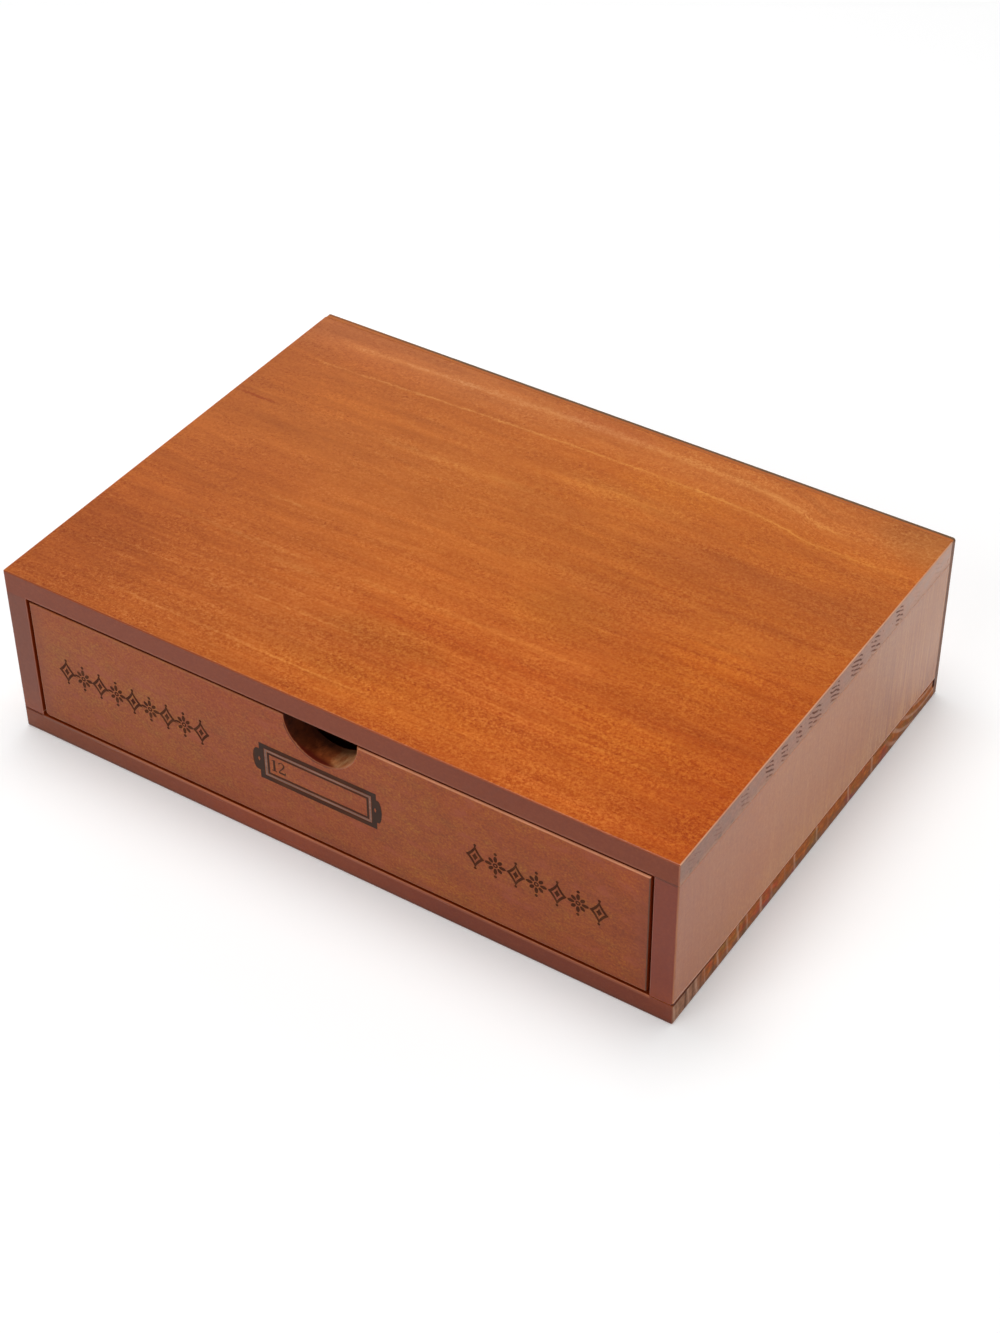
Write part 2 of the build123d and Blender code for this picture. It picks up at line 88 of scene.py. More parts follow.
# height of the direction (its sine) and how bright the room is there
SKY = [(0.0, 1.0), (0.40, 1.0), (0.52, 0.62), (0.60, 0.26), (0.70, 0.06), (1.0, 0.03)]
ramp = w_ramp.color_ramp
while len(ramp.elements) < len(SKY):
    ramp.elements.new(0.5)
for element, (where, bright) in zip(ramp.elements, SKY):
    element.position = where
    element.color = (bright, bright, bright, 1)
w_back.inputs["Strength"].default_value = 1.0


def lamp(name, place, target, size, watts, colour=(1, 1, 1)):
    data = bpy.data.lights.new(name, "AREA")
    data.shape = "RECTANGLE"
    data.size, data.size_y = size
    data.energy = watts
    data.color = colour
    made = bpy.data.objects.new(name, data)
    made.location = place
    made.rotation_mode = "QUATERNION"
    made.rotation_quaternion = (Vector(target) - Vector(place)).to_track_quat("-Z", "Y")
    scene.collection.objects.link(made)
    return made


lamp("Overhead", (-0.13, 0.12, 1.78), (0.02, 0.0, 0.0), (1.15, 1.15), 25.6)
lamp("Front fill", (-0.35, -1.60, 1.15), (0.0, -0.09, 0.03), (1.2, 0.9), 9.0)


def white_sheet():
    mesh = bpy.data.meshes.new("Floor")
    half = 9.0
    mesh.from_pydata([(-half, -half, 0), (half, -half, 0), (half, half, 0), (-half, half, 0)], [], [(0, 1, 2, 3)])
    floor = bpy.data.objects.new("Floor", mesh)
    scene.collection.objects.link(floor)
    material = bpy.data.materials.new("floor_white")
    material.use_nodes = True
    shader = material.node_tree.nodes["Principled BSDF"]
    shader.inputs["Base Color"].default_value = (0.80, 0.80, 0.80, 1)
    shader.inputs["Roughness"].default_value = 1.0
    shader.inputs["Specular IOR Level"].default_value = 0.0
    shader.inputs["Emission Color"].default_value = (1, 1, 1, 1)
    shader.inputs["Emission Strength"].default_value = 0.24
    mesh.materials.append(material)


white_sheet()


# ======================= material shorthand =============================
class Num:
    """One number in a node tree. Sums and products of them add Math nodes."""

    def __init__(self, graph, socket):
        self.graph, self.socket = graph, socket

    def __add__(self, other):
        return self.graph.math("ADD", self, other)

    __radd__ = __add__

    def __sub__(self, other):
        return self.graph.math("SUBTRACT", self, other)

    def __rsub__(self, other):
        return self.graph.math("SUBTRACT", other, self)

    def __mul__(self, other):
        return self.graph.math("MULTIPLY", self, other)

    __rmul__ = __mul__

    def __truediv__(self, other):
        return self.graph.math("DIVIDE", self, other)

    def __neg__(self):
        return self.graph.math("MULTIPLY", self, -1.0)


class Graph:
    """A material whose nodes are written as expressions, in millimetres of the part's own frame."""

    def __init__(self, name):
        self.material = bpy.data.materials.new(name)
        self.material.use_nodes = True
        self.tree = self.material.node_tree
        self.tree.nodes.clear()
        out = self.add("ShaderNodeOutputMaterial")
        self.shader = self.add("ShaderNodeBsdfPrincipled")
        self.tree.links.new(self.shader.outputs["BSDF"], out.inputs["Surface"])
        self.shader.inputs["IOR"].default_value = 1.42
        coords = self.add("ShaderNodeTexCoord")
        grow = self.add("ShaderNodeVectorMath")
        grow.operation = "SCALE"
        self.tree.links.new(coords.outputs["Object"], grow.inputs[0])
        grow.inputs["Scale"].default_value = 1000.0
        self.x, self.y, self.z = self.split(grow.outputs[0])
        self.nx, self.ny, self.nz = self.split(coords.outputs["Normal"])

    def add(self, kind):
        return self.tree.nodes.new(kind)

    def feed(self, socket, value):
        if isinstance(value, Num):
            self.tree.links.new(value.socket, socket)
        elif isinstance(value, bpy.types.NodeSocket):
            self.tree.links.new(value, socket)
        else:
            socket.default_value = value

    def split(self, vector):
        node = self.add("ShaderNodeSeparateXYZ")
        self.feed(node.inputs[0], vector)
        return [Num(self, node.outputs[i]) for i in range(3)]

    def vec(self, x, y, z):
        node = self.add("ShaderNodeCombineXYZ")
        for i, value in enumerate((x, y, z)):
            self.feed(node.inputs[i], value)
        return node.outputs[0]

    def math(self, operation, *values, clamp=False):
        node = self.add("ShaderNodeMath")
        node.operation = operation
        node.use_clamp = clamp
        for i, value in enumerate(values):
            self.feed(node.inputs[i], value)
        return Num(self, node.outputs[0])

    def abs(self, value):
        return self.math("ABSOLUTE", value)

    def low(self, a, b):
        return self.math("MINIMUM", a, b)

    def high(self, a, b):
        return self.math("MAXIMUM", a, b)

    def clamp(self, value):
        return self.math("ADD", value, 0.0, clamp=True)

    def step(self, value, start, end):
        """0 up to start, 1 from end, smooth between."""
        node = self.add("ShaderNodeMapRange")
        node.interpolation_type = "SMOOTHSTEP"
        self.feed(node.inputs["Value"], value)
        node.inputs["From Min"].default_value = start
        node.inputs["From Max"].default_value = end
        return Num(self, node.outputs[0])

    def line(self, distance, half_width):
        """1 on a line and 0 from half_width away."""
        return self.step(self.abs(distance), half_width, 0.0)

    def span(self, value, start, end, fade):
        """1 between start and end, fading inside them."""
        return self.step(value, start, start + fade) * self.step(value, end, end - fade)

    def curve(self, value, start, end, points):
        """A smooth curve through (value, height) points, heights within 0 to 1."""
        node = self.add("ShaderNodeFloatCurve")
        self.feed(node.inputs["Value"], (value - start) * (1.0 / (end - start)))
        curve = node.mapping.curves[0]
        while len(curve.points) < len(points):
            curve.points.new(0.5, 0.5)
        for point, (x, height) in zip(curve.points, points):
            point.location = ((x - start) / (end - start), height)
        node.mapping.update()
        return Num(self, node.outputs[0])

    def noise(self, vector, size, seed=0.0, detail=2.0, rough=0.5, distort=0.0):
        """Noise about 0, mostly within -0.25 to 0.25; size is its length in millimetres each way."""
        move = self.add("ShaderNodeMapping")
        self.feed(move.inputs["Vector"], vector)
        move.inputs["Location"].default_value = (seed * 17.3, seed * -9.1, seed * 5.7)
        move.inputs["Scale"].default_value = [1.0 / s for s in size]
        node = self.add("ShaderNodeTexNoise")
        node.inputs["Scale"].default_value = 1.0
        node.inputs["Detail"].default_value = detail
        node.inputs["Roughness"].default_value = rough
        node.inputs["Distortion"].default_value = distort
        self.tree.links.new(move.outputs[0], node.inputs["Vector"])
        return Num(self, node.outputs[0]) - 0.5

    def ramp(self, value, stops):
        node = self.add("ShaderNodeValToRGB")
        self.feed(node.inputs["Fac"], value)
        elements = node.color_ramp.elements
        while len(elements) < len(stops):
            elements.new(0.5)
        for element, (where, colour) in zip(elements, stops):
            element.position = where
            element.color = (*colour, 1)
        return node.outputs["Color"]

    def mix(self, amount, a, b, how="MIX"):
        node = self.add("ShaderNodeMix")
        node.data_type = "RGBA"
        node.blend_type = how
        self.feed(node.inputs[0], amount)
        for socket, colour in ((node.inputs[6], a), (node.inputs[7], b)):
            if isinstance(colour, tuple):
                socket.default_value = (*colour, 1)
            else:
                self.feed(socket, colour)
        return node.outputs[2]

    def scale(self, colour, amount):
        node = self.add("ShaderNodeVectorMath")
        node.operation = "SCALE"
        self.feed(node.inputs[0], colour)
        self.feed(node.inputs["Scale"], amount)
        return node.outputs[0]

    def bump(self, height, strength, depth_mm):
        node = self.add("ShaderNodeBump")
        self.feed(node.inputs["Height"], height)
        node.inputs["Strength"].default_value = strength
        node.inputs["Distance"].default_value = depth_mm / 1000.0
        self.tree.links.new(node.outputs["Normal"], self.shader.inputs["Normal"])

    def finish(self, colour, roughness):
        self.feed(self.shader.inputs["Base Color"], colour)
        self.feed(self.shader.inputs["Roughness"], roughness)
        return self.material

    # ---- parts of a board ----
    def facing(self, towards, start=0.72, end=0.93):
        return self.step(towards, start, end)

    def arris(self):
        """1 on the rounded edges between two faces."""
        ax, ay, az = self.abs(self.nx), self.abs(self.ny), self.abs(self.nz)
        return self.step(ax * ay + ay * az + ax * az, 0.12, 0.42)


def long_grain(g, vector, seed, broad=0.42, streaks=0.40, fine=0.30, speckle=0.44, gain=1.0):
    """How light the wood is, about 0.5; the vector's first coordinate runs along the grain."""
    tone = g.noise(vector, (190, 30, 30), seed, detail=2.0) * broad
    tone = tone + g.noise(vector, (62, 5.0, 5.0), seed + 1, detail=2.0, rough=0.55) * streaks
    flecks = g.noise(vector, (2.2, 1.15, 1.15), seed + 2, detail=2.0, rough=0.6) * fine
    flecks = flecks + g.noise(vector, (0.85, 0.8, 0.8), seed + 3, detail=2.0, rough=0.75) * speckle
    return tone + flecks * gain + 0.5


def pores(g, vector, seed, share=0.16):
    """1 in the short dark pore strokes that lie along the grain."""
    strokes = g.noise(vector, (2.1, 0.48, 0.48), seed, detail=1.0)
    return g.step(strokes, share, share + 0.09)


# ======================= top board ======================================
TOP_DARK, TOP_MID, TOP_LIGHT = (0.30, 0.045, 0.003), (0.455, 0.103, 0.009), (0.61, 0.205, 0.030)

# Light and dark streaks of the upper face: place across the board at its left
# end, half width, from and to along the board, and strength.
TOP_STREAKS = [
    (74.2, 2.2, -112, 100, 0.20), (61.3, 0.75, -116, 122, 0.30), (61.0, 2.6, 20, 122, 0.10),
    (46.5, 5.0, -10, 52, 0.16), (33.0, 1.8, -70, 6, 0.13), (35.6, 1.0, -124, -104, 0.12),
    (31.8, 1.0, -124, -102, -0.30), (2.5, 5.0, -4, 50, 0.08), (11.8, 0.9, 40, 122, -0.13),
    (-10.5, 0.6, 60, 116, -0.16), (-16.5, 2.0, 66, 122, -0.12), (-11.5, 0.8, -82, -54, 0.18),
    (-13.5, 0.7, -38, -6, 0.12), (-34.0, 1.5, -112, -40, 0.14), (-34.2, 1.8, -34, 66, 0.15),
    (-32.2, 0.5, -80, -32, -0.18), (-44.6, 2.0, -24, 62, -0.16), (-44.8, 1.8, 66, 118, -0.13),
    (-49.3, 0.7, -104, 122, 0.13), (-53.0, 0.5, -16, 64, 0.13), (-56.0, 0.5, -108, -74, 0.22),
    (-56.3, 0.5, -56, -4, 0.20), (-56.2, 0.5, 12, 100, 0.18), (-60.9, 0.5, 0, 108, 0.24),
    (-61.6, 0.5, -112, -84, 0.18), (-66.5, 0.5, 22, 112, -0.14), (-75.6, 0.6, -98, 18, 0.24),
    (-74.6, 0.5, 52, 96, 0.14), (-80.4, 0.5, -16, 6, 0.14), (-38.6, 2.2, -60, -34, 0.12),
]


def edge_colours(g, front, vector, seed):
    """The narrow front edges of the box: a darker, redder stain, nearly even."""
    tone = long_grain(g, vector, seed, broad=0.30, streaks=0.10, fine=0.20, speckle=0.40)
    tint = g.ramp(tone, [(0.2, (0.152, 0.021, 0.003)), (0.5, (0.205, 0.034, 0.006)), (0.8, (0.27, 0.057, 0.013))])
    return tint


def opening_stain_and_shade(g, stain, inner):
    """Dark red painted into the opening over its first millimetres, fading inwards: partly stain, partly painted shade
    of the narrow gaps.
    """
    deep = inner * g.step(g.y, -72.0, -82.0)
    red = g.mix(g.step(g.y, -84.0, -86.0), (0.115, 0.010, 0.001), (0.24, 0.028, 0.004))
    return g.mix(deep * 0.92, stain, red)


def wash(g, stain, weight, factors):
    """The stain a little darker or lighter where the weight is 1."""
    return g.mix(weight, stain, factors, "MULTIPLY")


def patch(g, x, y, half_x, half_y):
    """1 in the middle of a soft oval on the upper face."""
    u, v = (g.x - x) * (1.0 / half_x), (g.y - y) * (1.0 / half_y)
    return g.step(u * u + v * v, 1.0, 0.0)


def top_board_material():
    g = Graph("top_board_wood")
    # the grain rises a little from the left and swings forwards at the rear right
    rise = g.step(g.x, -125.0, 25.0) * (4.0 * g.step(g.y, -84.0, -36.0))
    swing = g.curve(g.x, -125.0, 125.0, [(-125, 0.0), (40, 0.0), (58, 0.12), (75, 0.5), (93, 1.0), (106, 0.93), (125, 0.35)])
    swing = swing * (9.5 * g.curve(g.y, -90.0, 90.0, [(-90, 0.0), (18, 0.0), (48, 0.25), (62, 0.62), (76, 1.0), (90, 1.1 / 1.1)]))
    across = g.y - rise + swing
    flat = g.vec(g.x, g.y, 0.0)
    across = across + g.noise(flat, (70, 14, 1), 21, detail=1.0) * 2.2
    grain = g.vec(g.x, across, g.z)
    # the flecks are stronger towards the front right
    gain = 0.92 + g.step(g.x, -70.0, 100.0) * 0.42 + g.step(g.y, 0.0, -75.0) * 0.62
    bands = g.noise(grain, (190, 30, 30), 3, detail=2.0) * 0.42 + g.noise(grain, (62, 5.0, 5.0), 4, detail=2.0, rough=0.55) * 0.42
    bands = bands + g.noise(grain, (15, 2.7, 2.7), 6, detail=1.0) * 0.24
    clusters = g.step(g.noise(grain, (17, 6.5, 6.5), 11, detail=2.0, rough=0.6), -0.22, 0.22)
    tone = long_grain(g, grain, 3, broad=0.0, streaks=0.0, fine=0.22, speckle=0.92, gain=gain * (clusters * 0.72 + 0.60)) + bands * 0.42
    tone = tone + g.noise(grain, (36, 0.60, 0.60), 9, detail=1.0) * (0.05 + g.step(g.y, 20.0, -40.0) * 0.25)
    pits = g.step(g.noise(grain, (1.5, 0.75, 0.75), 12, detail=1.0), 0.13, 0.22)
    tone = tone - pits * (clusters * 0.26 + 0.05)
    ragged_across = across + g.noise(flat, (3.4, 1.6, 1), 22, detail=2.0, rough=0.7) * 2.0

    upper = g.facing(g.nz)
    streaks = None
    for i, (place, half, start, end, strength) in enumerate(TOP_STREAKS):
        mark = g.line(ragged_across - place, half * 1.25) * (g.span(g.x, start, end, 16.0 if end - start > 40 else 8.0) * strength)
        streaks = mark if streaks is None else streaks + mark
    broken = g.step(g.noise(flat, (9, 2.6, 1), 8, detail=3.0, rough=0.7), -0.26, 0.16)
    tone = tone + streaks * upper * (broken * 0.9 + 0.40)
    tone = tone - pores(g, grain, 31) * gain * 0.20

    # faint planer marks across the grain
    chatter = g.math("SINE", g.x * (2 * math.pi / 2.05)) * g.span(g.x, 14.0, 118.0, 24.0) * g.span(g.y, -46.0, 38.0, 22.0)
    tone = tone + chatter * (g.noise(g.vec(g.x, g.y, 0.0), (9, 9, 1), 40) + 0.22) * 0.11 * upper

    # painted light: the upper face is lighter towards the middle and the right, and darker at the left end and towards
    # the rear
    light_gradient = g.step(g.x, -124.0, -10.0) * 0.26 - g.step(g.y, 30.0, 86.0) * 0.10
    tone = tone + (light_gradient - 0.165) * upper

    stain = g.ramp(tone, [(0.0, TOP_DARK), (0.5, TOP_MID), (1.0, TOP_LIGHT)])
    redder = g.step(g.y, 40.0, -60.0) * (g.step(g.x, -60.0, 60.0) * 0.5 + 0.5)
    stain = wash(g, stain, redder * 0.8, (1.02, 0.80, 0.85))
    stain = g.scale(stain, 1.0 + bands * 0.62)
    # uneven staining: golden at the left and the rear, browner and redder patches at the right
    stain = wash(g, stain, g.step(g.x, 20.0, -105.0), (1.03, 1.25, 2.2))
    stain = wash(g, stain, g.step(g.y, 60.0, 78.0), (1.06, 1.22, 2.0))
    stain = wash(g, stain, patch(g, 90.0, 35.0, 64.0, 27.0), (0.84, 0.78, 0.9))
    stain = wash(g, stain, patch(g, 58.0, -4.0, 42.0, 24.0), (0.91, 0.87, 0.9))
    stain = wash(g, stain, g.step(g.x, 82.0, 118.0) * g.step(g.y, 30.0, -10.0), (0.86, 0.74, 0.5))
    stain = wash(g, stain, patch(g, -118.0, -68.0, 46.0, 40.0), (0.88, 0.86, 0.9))
    stain = wash(g, stain, patch(g, -84.0, 0.0, 28.0, 15.0), (0.93, 0.88, 0.85))
    stain = wash(g, stain, patch(g, 24.0, 2.0, 40.0, 52.0), (0.95, 0.95, 0.97))
    stain = wash(g, stain, patch(g, -14.0, -62.0, 32.0, 16.0), (0.93, 0.94, 1.0))
    stain = wash(g, stain, patch(g, 120.0, 82.0, 26.0, 18.0), (0.86, 0.96, 1.1))
    stain = wash(g, stain, patch(g, 84.0, -38.0, 32.0, 56.0), (0.98, 0.98, 0.72))
    for x, y, half_x, half_y, factors in [(-88.0, 72.0, 34.0, 12.0, (1.09, 1.07, 1.0)), (-88.0, 44.0, 34.0, 13.0, (1.09, 1.09, 1.0)),
                                          (86.0, 46.0, 34.0, 9.0, (1.13, 1.17, 1.0)), (86.0, 24.0, 34.0, 8.0, (1.11, 1.13, 1.0)),
                                          (88.0, -7.0, 34.0, 9.0, (1.09, 1.09, 1.0)), (84.0, -35.0, 36.0, 13.0, (0.93, 0.90, 1.0)),
                                          (0.0, -50.0, 30.0, 9.0, (0.92, 0.99, 1.0)), (18.0, -72.0, 62.0, 14.0, (1.05, 1.12, 1.0)),
                                          (2.0, 32.0, 26.0, 8.0, (0.94, 0.94, 1.0)), (0.0, 80.0, 26.0, 6.0, (0.91, 0.86, 1.0)),
                                          (38.0, -12.0, 24.0, 16.0, (1.0, 1.08, 1.0)), (36.0, 60.0, 26.0, 7.0, (1.06, 1.12, 1.0))]:
        stain = wash(g, stain, patch(g, x, y, half_x, half_y), factors)
    front = g.facing(-g.ny)
    stain = g.mix(front, stain, edge_colours(g, front, g.vec(g.x, g.y, g.z), 5))
    stain = wash(g, stain, front * g.step(g.x, 10.0, 60.0), (0.93, 0.92, 0.85))

    # ends: greyish, with stacks of short slanted strokes
    end = g.facing(g.abs(g.nx))
    cells = g.noise(g.vec(g.x, g.y, g.z), (3.0, 1.3, 0.9), 50, detail=3.0, rough=0.6)
    end_tone = cells * 0.8 + 0.5
    end_stain = g.ramp(end_tone, [(0.25, (0.22, 0.080, 0.038)), (0.5, (0.31, 0.120, 0.060)), (0.75, (0.40, 0.18, 0.105))])
    slant = g.z + g.y * 0.50 + g.noise(g.vec(0.0, g.y, g.z), (1, 4, 4), 52) * 1.9
    strokes = g.step(g.math("SINE", slant * (2 * math.pi / 1.75)), -0.10, 0.60)
    stacks = None
    lean = g.y + (g.z - 60.0) * 0.16
    for place, half, dark in [(-79, 5.0, 0.30), (-66, 3.0, 0.35), (-50, 3.2, 0.45), (-35.4, 3.0, 0.8), (-26.4, 2.6, 0.65),
                              (-17.4, 2.2, 0.85), (-7.5, 5.0, 0.8), (5.2, 3.8, 0.9), (19.6, 4.6, 1.0), (32.2, 3.8, 0.8),
                              (48.4, 3.4, 0.7), (61.0, 3.0, 0.22), (76.0, 3.5, 0.25)]:
        stack = g.step(g.abs(lean - place), half, half * 0.6) * dark
        stacks = stack if stacks is None else stacks + stack
    within = g.span(g.z, 56.8, 64.0, 0.7)
    ragged = g.step(g.noise(g.vec(0.0, g.y, g.z), (1, 2.4, 0.9), 55, detail=2.0), -0.20, 0.0)
    soaked = g.step(strokes * stacks * within * ragged, 0.08, 0.75)
    end_stain = wash(g, end_stain, g.step(g.y, -30.0, -75.0), (0.80, 0.80, 0.85))
    end_stain = g.mix(g.step(g.y, 10.0, 85.0) * 0.65, end_stain, (0.52, 0.30, 0.21))
    end_stain = g.mix(soaked, end_stain, (0.125, 0.030, 0.008))
    # blotchy, and nearer to the side board's colour along the seam
    end_stain = wash(g, end_stain, g.step(g.noise(g.vec(g.x, g.y, g.z), (4.5, 4.5, 3.0), 56, detail=2.0), -0.16, 0.16), (1.10, 0.97, 0.86))
    end_stain = g.mix(g.step(g.z, 58.6, 57.2) * 0.55, end_stain, (0.42, 0.155, 0.055))
    marks = None
    for place, half in [(-81.2, 1.0), (-77.0, 0.9), (-64.6, 1.5), (-57.4, 1.5)]:
        mark = g.step(g.abs(g.y - place), half, half * 0.3) * g.span(g.z, 56.9, 58.6, 0.7)
        marks = mark if marks is None else marks + mark
    end_stain = g.mix(marks * 0.7, end_stain, (0.10, 0.030, 0.014))
    stain = g.mix(end, stain, end_stain)

    # rounded edges: dark red along the front, with painted highlights along the ends and on the front corners
    arris = g.arris()
    above, below = g.step(g.nz, 0.25, 0.45), g.step(g.nz, -0.25, -0.45)
    ahead = g.step(g.ny, -0.25, -0.45)
    patchy = g.noise(g.vec(g.x, g.y, g.z), (14, 14, 14), 60)
    stain = g.mix(g.clamp(arris * above * (1.0 - ahead) * (patchy * 0.9 + 0.75)), stain, (0.66, 0.36, 0.22))
    stain = g.mix(g.clamp(arris * above * ahead * (patchy * 0.9 + 0.85)), stain, (0.27, 0.048, 0.010))
    stain = g.mix(g.clamp(arris * ahead * (1.0 - above) * (1.0 - below) * (patchy * 0.9 + 0.5)), stain, (0.40, 0.16, 0.09))
    # underneath: a painted highlight on the rounded edge over the opening, stronger at the right; the seam on the side
    # boards is dark
    over_opening = g.step(g.abs(g.x), 114.9, 114.5)
    stain = g.mix(g.clamp(arris * below * over_opening * (patchy + 0.75)), stain, g.mix(g.step(g.x, 0.0, 30.0), (0.34, 0.090, 0.040), (0.66, 0.23, 0.12)))
    seam = arris * below * (1.0 - over_opening)
    stain = g.mix(seam * g.step(g.x, 60.0, 119.0) * 0.9, stain, (0.085, 0.020, 0.008))
    stain = opening_stain_and_shade(g, stain, g.step(g.nz, -0.75, -0.93) * over_opening)

    # painted highlight: just above the opening the front is a little lighter
    lit_lip = front * g.step(g.z, 57.9, 56.9) * over_opening
    stain = g.mix(lit_lip * 0.50, stain, (0.28, 0.078, 0.036))
    stain = g.mix(front * g.step(g.z, 57.05, 56.85) * g.step(g.x, 114.4, 115.0) * 0.6, stain, (0.060, 0.012, 0.006))
    g.shader.inputs["IOR"].default_value = 1.34
    roughness = 0.25 + g.noise(grain, (30, 3, 3), 70, detail=3.0) * 0.08 + end * (0.04 + soaked * 0.35)
    g.bump(g.noise(grain, (2.6, 0.75, 0.75), 75, detail=3.0, rough=0.65) - pores(g, grain, 31) * 0.35, 0.12, 0.10)
    return g.finish(stain, roughness)


# ======================= other boards of the box ========================
def nick(g):
    """1 on the walls of the small open nick at the lower right rear corner, which are painted nearly black as painted
    shade.
    """
    return g.step(g.x, 117.2, 117.45) * g.step(g.y, 83.45, 83.68) * g.step(g.z, 4.75, 4.95) * g.step(g.z, 8.3, 8.1)


def bottom_board_material():
    g = Graph("bottom_board_wood")
    grain = g.vec(g.x, g.y, g.z)
    tone = long_grain(g, grain, 103) - pores(g, grain, 131) * 0.16
    stain = g.ramp(tone, [(0.0, TOP_DARK), (0.5, TOP_MID), (1.0, TOP_LIGHT)])
    front = g.facing(-g.ny)
    stain = g.mix(front, stain, edge_colours(g, front, g.vec(g.x, g.y, g.z), 105))

    end = g.facing(g.abs(g.nx))
    cells = g.noise(grain, (3.0, 2.6, 1.6), 150, detail=3.0, rough=0.6)
    end_stain = g.ramp(cells * 1.2 + 0.5, [(0.2, (0.17, 0.062, 0.009)), (0.5, (0.35, 0.084, 0.010)), (0.8, (0.54, 0.17, 0.030))])
    lower = g.step(g.z + cells * 5.0, 4.6, 1.0)
    end_stain = g.mix(lower * 0.75, end_stain, (0.20, 0.100, 0.060))
    rings = None
    for place, half, light in [(-86.6, 1.1, 0.9), (-84.5, 0.8, 0.3), (-78.2, 1.0, 0.8), (-73.6, 1.2, 0.9), (-68.6, 0.7, 0.5), (-60.8, 1.0, 0.85),
                               (-55.0, 1.2, 0.55), (-48.4, 1.1, 0.9), (-42.7, 0.9, 0.6), (-34.2, 1.3, 0.9), (-27.5, 1.4, 0.35),
                               (-19.0, 0.8, 0.25), (-12.6, 1.1, 0.9), (2.0, 1.0, 0.8), (9.5, 0.7, 0.25), (23.4, 1.1, 0.8), (39.8, 1.3, 0.8)]:
        ring = g.line(g.y - place + (g.z - 4.0) * 0.12 + g.noise(g.vec(0.0, g.y, g.z), (1, 9, 3.0), 155) * 0.9, half * 0.92) * light
        rings = ring if rings is None else rings + ring
    arcs = g.math("SINE", (g.math("SQRT", (g.y - 78.0) * (g.y - 78.0) * 0.30 + (g.z - 14.0) * (g.z - 14.0))) * (2 * math.pi / 3.3))
    rings = rings + g.step(arcs, 0.10, 0.95) * g.step(g.y, 46.0, 58.0) * 0.8
    # olive and red patches; towards the front it is greyer, with a few dark bands
    end_stain = wash(g, end_stain, g.step(g.noise(grain, (7.0, 7.0, 5.0), 156, detail=2.0), 0.02, 0.18), (0.78, 1.12, 1.3))
    end_stain = wash(g, end_stain, g.step(g.noise(grain, (6.0, 6.0, 4.0), 157, detail=2.0), 0.04, 0.2), (1.08, 0.72, 1.2))
    end_stain = g.mix(g.step(g.y, -66.0, -76.0) * 0.8, end_stain, g.ramp(cells * 1.2 + 0.5, [(0.2, (0.19, 0.090, 0.052)), (0.8, (0.36, 0.185, 0.115))]))
    dark_bands = g.line(g.y + 80.0, 0.9) + g.line(g.y + 75.6, 1.0) * 0.7 + g.line(g.y + 71.0, 1.2) * 0.6 + g.line(g.y + 63.4, 1.0) * 0.6 + g.line(g.y + 45.0, 1.6) * 0.5
    end_stain = g.mix(dark_bands * 0.8, end_stain, (0.085, 0.026, 0.010))
    streaky = g.noise(grain, (2.0, 1.2, 2.4), 158, detail=2.0, rough=0.6) * 1.3 + 0.72
    end_stain = g.mix(g.clamp(rings * streaky), end_stain, (0.54, 0.31, 0.21))
    end_stain = g.mix(g.step(g.z, 7.3, 7.8) * g.step(g.y, -52.0, -64.0) * 0.9, end_stain, (0.060, 0.012, 0.004))
    stain = g.mix(end, stain, end_stain)
    arris = g.arris()
    above, ahead = g.step(g.nz, 0.25, 0.45), g.step(g.ny, -0.25, -0.45)
    patchy = g.noise(grain, (14, 14, 14), 160)
    inside = g.step(g.abs(g.x), 114.9, 114.5)
    # painted shade near the floor: the rounded edges, except the upper ones, are dark and greyish, and the front grows
    # darker and greyer towards the bottom
    stain = g.mix(g.clamp(arris * (1.0 - above) * (patchy * 0.9 + 0.55)), stain, (0.125, 0.052, 0.036))
    stain = wash(g, stain, front * g.step(g.z, 2.0, 0.7) * 0.8, (0.60, 0.85, 1.5))
    # the rounded edge under the opening carries a painted highlight, weaker at the left; the seams beside it are dark
    stain = g.mix(g.clamp(arris * above * ahead * inside * (patchy + 0.90)), stain, g.mix(g.step(g.x, -70.0, -112.0), (0.52, 0.165, 0.060), (0.26, 0.070, 0.030)))
    # painted highlight: a lighter band just below the opening, darker near the left end
    lit_lip = front * g.step(g.z, 6.7, 7.4) * inside
    stain = g.mix(lit_lip * 0.75, stain, g.mix(g.step(g.x, -70.0, -112.0), (0.37, 0.110, 0.048), (0.20, 0.060, 0.030)))
    stain = wash(g, stain, front, (0.77, 0.62, 0.6))
    stain = wash(g, stain, front * g.step(g.x, 55.0, 0.0), (1.40, 1.80, 1.9))
    stain = wash(g, stain, front * g.step(g.x, -40.0, -110.0), (0.88, 1.02, 1.2))
    stain = wash(g, stain, front * g.span(g.x, -62.0, 44.0, 30.0), (1.12, 1.06, 1.0))
    stain = wash(g, stain, front * g.step(g.x, 36.0, 60.0), (1.08, 1.20, 1.1))
    stain = wash(g, stain, front * g.span(g.x, -12.0, 34.0, 14.0), (0.86, 0.88, 0.95))
    stain = wash(g, stain, front * g.step(g.x, 112.0, 116.0) * g.step(g.z, 5.0, 7.5), (1.20, 1.30, 1.2))
    seam = arris * above * (1.0 - inside)
    dark = g.high(g.step(g.x, -60.0, -119.0), g.step(g.x, 121.0, 122.2) * g.step(g.y, -40.0, -64.0))
    stain = g.mix(g.clamp(seam * dark * 0.95), stain, (0.060, 0.012, 0.004))
